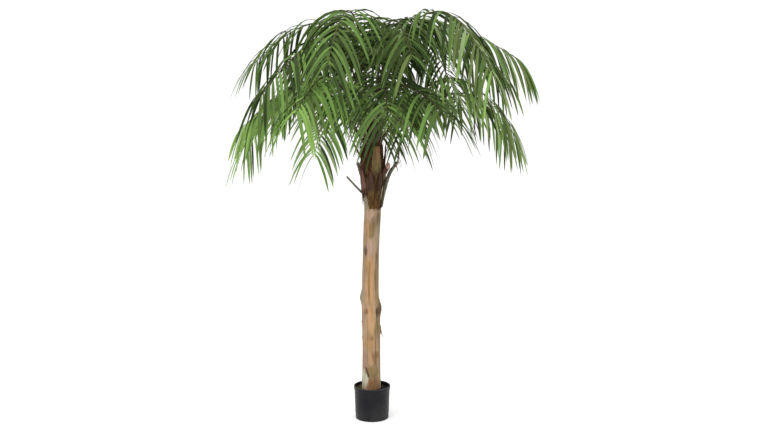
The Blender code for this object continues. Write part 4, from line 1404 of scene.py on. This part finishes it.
stalk, tree, shader = new_finish("frond stalk", Roughness=0.70, Specular_IOR_Level=0.2)
grain = use_group(stalk, grain_group, {"Scale": 210.0, "Stretch": 0.12, "Broad Scale": 12.0})
fine, broad = spread(tree, grain["Fine"], 0.35, 0.65), spread(tree, grain["Broad"], 0.40, 0.62)
woody = blend_colours(tree, fine, (0.022, 0.013, 0.008), (0.070, 0.046, 0.026))
green = blend_colours(tree, broad, (0.050, 0.045, 0.016), (0.090, 0.100, 0.032))
higher = spread(tree, object_axis(tree, "Z"), GREEN_FROM, GREEN_TO)
tree.links.new(blend_colours(tree, higher, woody, green), shader.inputs["Base Color"])
raise_surface(tree, shader, grain["Fine"], 0.0006)
frond_nodes = {number: [f"frond_{number:02d}_inner", f"frond_{number:02d}_outer"]
               for number in range(1, len(FRONDS) + 1)}
keep(ribs_shape, "frond_ribs", [stalk], sum(frond_nodes.values(), []))

# %% [markdown]
# ## The leaflet
#
# A leaflet is a long narrow blade, folded along its middle into a shallow gutter and pointed at
# both ends. It is a closed shape of six corners round and nine lengths along: two edges, a raised
# midrib of three corners above, and a keel below. One ring is extruded nine times and narrowed
# to the outline at each step.

# %% Make the template of a leaflet
# How far along the blade, and its width there
LEAFLET_STATIONS = ((0, 0.20), (0.05, 0.48), (0.13, 0.80), (0.27, 0.98), (0.42, 1.0), (0.57, 0.95),
                    (0.71, 0.84), (0.83, 0.63), (0.93, 0.36), (1.0, 0.05))
FOLD = 0.26
MIDRIB_HALF_WIDTH = 0.09
MIDRIB_HEIGHT = 0.055
BLADE_THICKNESS = 0.07

leaflet_shape = bmesh.new()
section = ((-1, FOLD), (-MIDRIB_HALF_WIDTH, FOLD * MIDRIB_HALF_WIDTH), (0, MIDRIB_HEIGHT),
           (MIDRIB_HALF_WIDTH, FOLD * MIDRIB_HALF_WIDTH), (1, FOLD), (0, -BLADE_THICKNESS))
first_width = LEAFLET_STATIONS[0][1]
ring = [leaflet_shape.verts.new((0, across * first_width, up * first_width))
        for across, up in section]
root = leaflet_shape.faces.new(ring)
edges = list(root.edges)
for (last_at, last_width), (at, width) in zip(LEAFLET_STATIONS, LEAFLET_STATIONS[1:]):
    ring, edges = extrude_ring(leaflet_shape, edges)
    bmesh.ops.translate(leaflet_shape, vec=(at - last_at, 0, 0), verts=ring)
    bmesh.ops.scale(leaflet_shape, vec=(1, width / last_width, width / last_width), verts=ring)
bmesh.ops.contextual_create(leaflet_shape, geom=edges)
bmesh.ops.recalc_face_normals(leaflet_shape, faces=leaflet_shape.faces)

# %% [markdown]
# The blade's fine parallel veins follow its length however it bends, so the template carries a UV
# map: U across the blade and V along it. Every copy keeps it.

# %% Unroll the template
flat_map = leaflet_shape.loops.layers.uv.new("blade")
for face in leaflet_shape.faces:
    for loop in face.loops:
        loop[flat_map].uv = (0.5 + 0.5 * loop.vert.co.y, loop.vert.co.x)
leaflet_template = as_template(leaflet_shape, "leaflet template")

# %% [markdown]
# ## Leaf greens
#
# The blades are printed cloth with a soft sheen. The veins are a bump that reads the UV map, in a
# group that every green uses. Each green itself is one plain base colour, because the shade
# changes from leaflet to leaflet and not within one.

# %% Vein group
vein_group, vein_in, vein_out = new_group("parallel veins", {"Count": 9.0}, ("Veins", "Mottle"))
blade = add_node(vein_group, "ShaderNodeUVMap", {}, uv_map="blade")
vein_scale = vein_group.nodes.new("ShaderNodeCombineXYZ")
vein_group.links.new(vein_in.outputs["Count"], vein_scale.inputs[0])
vein_scale.inputs[1].default_value = 0.6
vein_place = add_node(vein_group, "ShaderNodeMapping", {
    "Vector": blade, "Scale": vein_scale.outputs[0],
})
ripple = add_node(vein_group, "ShaderNodeTexNoise", {"Vector": vein_place, "Scale": 2.2, "Detail": 2.0})
mottle = add_node(vein_group, "ShaderNodeTexNoise", {
    "Vector": object_place(vein_group), "Scale": 60.0, "Detail": 3.0,
})
vein_group.links.new(ripple, vein_out.inputs["Veins"])
vein_group.links.new(mottle, vein_out.inputs["Mottle"])

# %% Greens
GREENS = {
    "bright leaf": (0.190, 0.320, 0.072),
    "fresh leaf": (0.118, 0.210, 0.047),
    "mid leaf": (0.072, 0.122, 0.029),
    "deep leaf": (0.028, 0.050, 0.011),
    "olive leaf": (0.106, 0.150, 0.044),
    # A pale green that stands for painted highlights on the blades
    "pale highlight leaf": (0.250, 0.340, 0.150),
}
greens = []
for name, colour in GREENS.items():
    green, tree, shader = new_finish(name, Base_Color=(*colour, 1), Specular_IOR_Level=0.12)
    veins = use_group(green, vein_group, {"Count": 9.0})
    tree.links.new(spread(tree, veins["Mottle"], 0.3, 0.7, 0.52, 0.70), shader.inputs["Roughness"])
    raise_surface(tree, shader, veins["Veins"], 0.0008)
    greens.append(green)


# %% [markdown]
# ## Leaflets along the ribs
#
# Leaflets stand in pairs, one each side of the rib. They leave it at a wide angle near the foot
# and a narrow one near the tip, lift a little above it, and droop more the further out they get.
# They are longest half-way along the frond and shortest at its tip, and the fronds differ a little
# in the length and width of theirs. Small repeatable changes to the angles and length of each
# pair, and to the width and twist of each leaflet, keep the rows from looking machine made.

# %% The rule for one leaflet
LEAFLET_SPACING = 0.026
LEAFLETS_END = 0.985
# Length and half width of a leaflet on each frond, in millimetres
LEAFLETS = ((341, 7.0), (341, 8.5), (326, 8.5), (357, 7.0), (326, 8.5), (310, 8.5), (350, 8.0),
            (310, 8.5), (330, 8.0), (357, 8.0), (330, 8.5), (341, 8.0), (341, 8.5), (341, 8.5),
            (341, 8.5), (341, 7.0), (350, 7.0), (341, 8.0), (326, 9.0), (350, 7.5))
LEAFLET_DROOP = 2.0
LEAFLET_STEPS = 8
# The angle between leaflet and rib in degrees, and how much it closes evenly and at the very end
LEAFLET_OPENING, LEAFLET_CLOSING, LEAFLET_LAST = 76, 20, 6
# How far a leaflet lifts above the rib at the foot of the frond, in degrees
LEAFLET_LIFT = 16
# The most that a blade is twisted, in degrees, with the shares of it at its root and added further out
LEAFLET_TWIST, TWIST_AT_ROOT, TWIST_ADDED = 35, 0.4, 0.9
# At the frond's tip: a leaflet's length as a share of the most, and how much narrower it is
TIP_LENGTH, TIP_NARROWER = 0.80, 0.12
# How much of the swelling in length lies before the first leaflet
SWELL_START = 0.12
# How much the opening, the lift, the length and the width differ from leaflet to leaflet
OPENING_VARIES, LIFT_VARIES, LENGTH_VARIES, WIDTH_VARIES = 7, 12, 0.08, 0.14
UP = Vector((0, 0, 1))


def wobble(*seeds):
    """A repeatable value from -1 to 1 that differs for each set of whole numbers."""
    weights = (12.9898, 78.233, 37.719)
    value = math.sin(sum(weight * seed for weight, seed in zip(weights, seeds))) * 43758.5453
    return 2 * (value - math.floor(value)) - 1


def leaflet_line(number, k, v, root, along):
    """Centres, side vectors and face vectors of leaflet k, v of the way up frond number."""
    side = Vector((0, 1 if k % 2 == 0 else -1, 0))
    lift_way = Vector((-along.z, 0, along.x))
    opening = math.radians(LEAFLET_OPENING - LEAFLET_CLOSING * v - LEAFLET_LAST * v ** 4
                           + OPENING_VARIES * wobble(number, k // 2, 1))
    lift = math.radians(LEAFLET_LIFT * (1 - v) + LIFT_VARIES * wobble(number, k // 2, 2))
    out = side * math.cos(lift) + lift_way * math.sin(lift)
    start_way = along * math.cos(opening) + out * math.sin(opening)
    swelling = math.sin(math.pi * min(1, SWELL_START + (1 - SWELL_START) * v))
    swell = TIP_LENGTH + (1 - TIP_LENGTH) * swelling
    usual_length, usual_half = (size / 1000 for size in LEAFLETS[number - 1])
    length = usual_length * swell * (1 + LENGTH_VARIES * wobble(number, k // 2, 3))
    half = usual_half * (1 - TIP_NARROWER * v) * (1 + WIDTH_VARIES * wobble(number, k, 5))
    twist = math.radians(LEAFLET_TWIST) * wobble(number, k, 4)
    centres = [root.copy()]
    sides = []
    ups = []
    for step in range(LEAFLET_STEPS + 1):
        fall = LEAFLET_DROOP * (step + 0.5) / LEAFLET_STEPS
        way = (start_way - UP * fall).normalized()
        flat = (along - way * along.dot(way)).normalized()
        turn = twist * (TWIST_AT_ROOT + TWIST_ADDED * step / LEAFLET_STEPS)
        across = flat * math.cos(turn) + way.cross(flat) * math.sin(turn)
        face = across.cross(way)
        if face.z < 0:
            face = -face
        sides.append(across * half)
        ups.append(face * half)
        if step < LEAFLET_STEPS:
            centres.append(centres[-1] + way * length / LEAFLET_STEPS)
    return centres, sides, ups


# %% [markdown]
# Which green a leaflet gets depends on its frond, and so light and shade are painted into the crown:
# the low ones at the left, where the key light falls, are a brighter green as painted light, the ones
# at the right more olive, and the high ones and those in the middle deeper, the deeper greens in the
# middle and at the back being painted shade inside the crown. The pale green stands for painted
# highlights. Within a frond the shade is dealt out by the same repeatable numbers.

# %% Deal out the greens
# For each family of fronds, the share of each green in the order of the table above
# The weights paint light and shade: brighter greens where the light falls at the low left, deeper ones
# in the middle and at the back, and the pale green for highlights
SHADES = {
    "low left": ((12, 13, 19, 20), (8, 6, 3, 1, 1, 2)),
    "top left": ((1, 2, 8, 11), (1, 4, 7, 5, 2, 0.5)),
    "middle": ((3, 6, 14, 15), (0.5, 3, 6, 6, 1, 0.5)),
    "right": ((4, 5, 7, 16, 17), (0.7, 4, 4.5, 3.5, 6, 3)),
    "back": ((9, 10, 18), (0.3, 1, 4, 8, 3, 0.3)),
}


def shade_of(number, k):
    weights = next(shares for fronds, shares in SHADES.values() if number in fronds)
    pick = (0.5 + 0.5 * wobble(k, number, 6)) * sum(weights)
    for index, weight in enumerate(weights):
        pick -= weight
        if pick <= 0:
            return index
    return 0


# %% Grow the leaflets
# The fronds that make one piece together, so that each piece keeps to a moderate size
GROUPS = {"front": (2, 3, 6, 13, 14, 15), "left": (1, 8, 11, 12, 20), "right": (4, 5, 7, 16, 17),
          "back": (9, 10, 18, 19)}
for group, numbers in GROUPS.items():
    lines = []
    for number in numbers:
        frond = FRONDS[number - 1]
        rib = rib_line(frond)
        total = length_of(rib)
        bare = RINGS[frond[0]][3]
        count = round((total - bare) / LEAFLET_SPACING)
        turn = Matrix.Rotation(math.radians(frond[1]), 3, "Z")
        for k in range(2 * count + 2):
            v = k // 2 / count
            root, along = walk(rib, bare + (total - bare) * min(LEAFLETS_END, v))
            centres, sides, ups = leaflet_line(number, k, v, root, along)
            lines.append(([turn @ point for point in centres], [turn @ side for side in sides],
                          [turn @ up for up in ups], shade_of(number, k)))
    shape = bend_copies(leaflet_template, lines)
    nodes = sum((frond_nodes[number] for number in numbers), [])
    print(group, "has", len(lines), "leaflets")
    keep(shape, "leaflets_" + group, greens, nodes)

# %% [markdown]
# ## Studio
#
# The tree stands on a plain pale floor in even white light, with one large soft light at the
# upper left that models the crown and a weaker one at the right.

# %% Floor, sky and lights
FLOOR_SIZE = 80
SKY_STRENGTH = 1.05
# Name, place, width and power of each light, which all aim at the middle of the tree
LIGHTS = (("key", (-2.6, -3.2, 3.4), 2.4, 105), ("fill", (3.0, -1.6, 1.6), 2.0, 34))
AIM = Vector((0, 0, 1.3))

floor_shape = bmesh.new()
bmesh.ops.create_grid(floor_shape, x_segments=1, y_segments=1, size=FLOOR_SIZE / 2)
floor_mesh = bpy.data.meshes.new("floor")
floor_shape.to_mesh(floor_mesh)
floor_shape.free()
floor_finish = new_finish("pale floor", Base_Color=(0.95, 0.95, 0.95, 1), Roughness=0.7,
                          Emission_Color=(1, 1, 1, 1), Emission_Strength=0.15)[0]
floor_mesh.materials.append(floor_finish)
floor = bpy.data.objects.new("floor", floor_mesh)
bpy.context.scene.collection.objects.link(floor)
floor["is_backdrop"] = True

world = bpy.data.worlds.new("studio")
world.use_nodes = True
sky = world.node_tree.nodes["Background"]
sky.inputs["Color"].default_value = (1, 1, 1, 1)
sky.inputs["Strength"].default_value = SKY_STRENGTH
bpy.context.scene.world = world

for name, place, size, power in LIGHTS:
    light_data = bpy.data.lights.new(name, "AREA")
    light_data.size = size
    light_data.energy = power
    light = bpy.data.objects.new(name, light_data)
    light.location = place
    light.rotation_euler = (AIM - Vector(place)).to_track_quat("-Z", "Y").to_euler()
    bpy.context.scene.collection.objects.link(light)
bpy.context.scene.view_settings.view_transform = "Standard"
print("lights:", [name for name, *_ in LIGHTS])

# %% Finish
visual_low, visual_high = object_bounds()
sizes = {"cad": [list(cad_low), list(cad_high)], "visual": [list(visual_low), list(visual_high)]}
print("visual model from", list(visual_low), "to", list(visual_high))
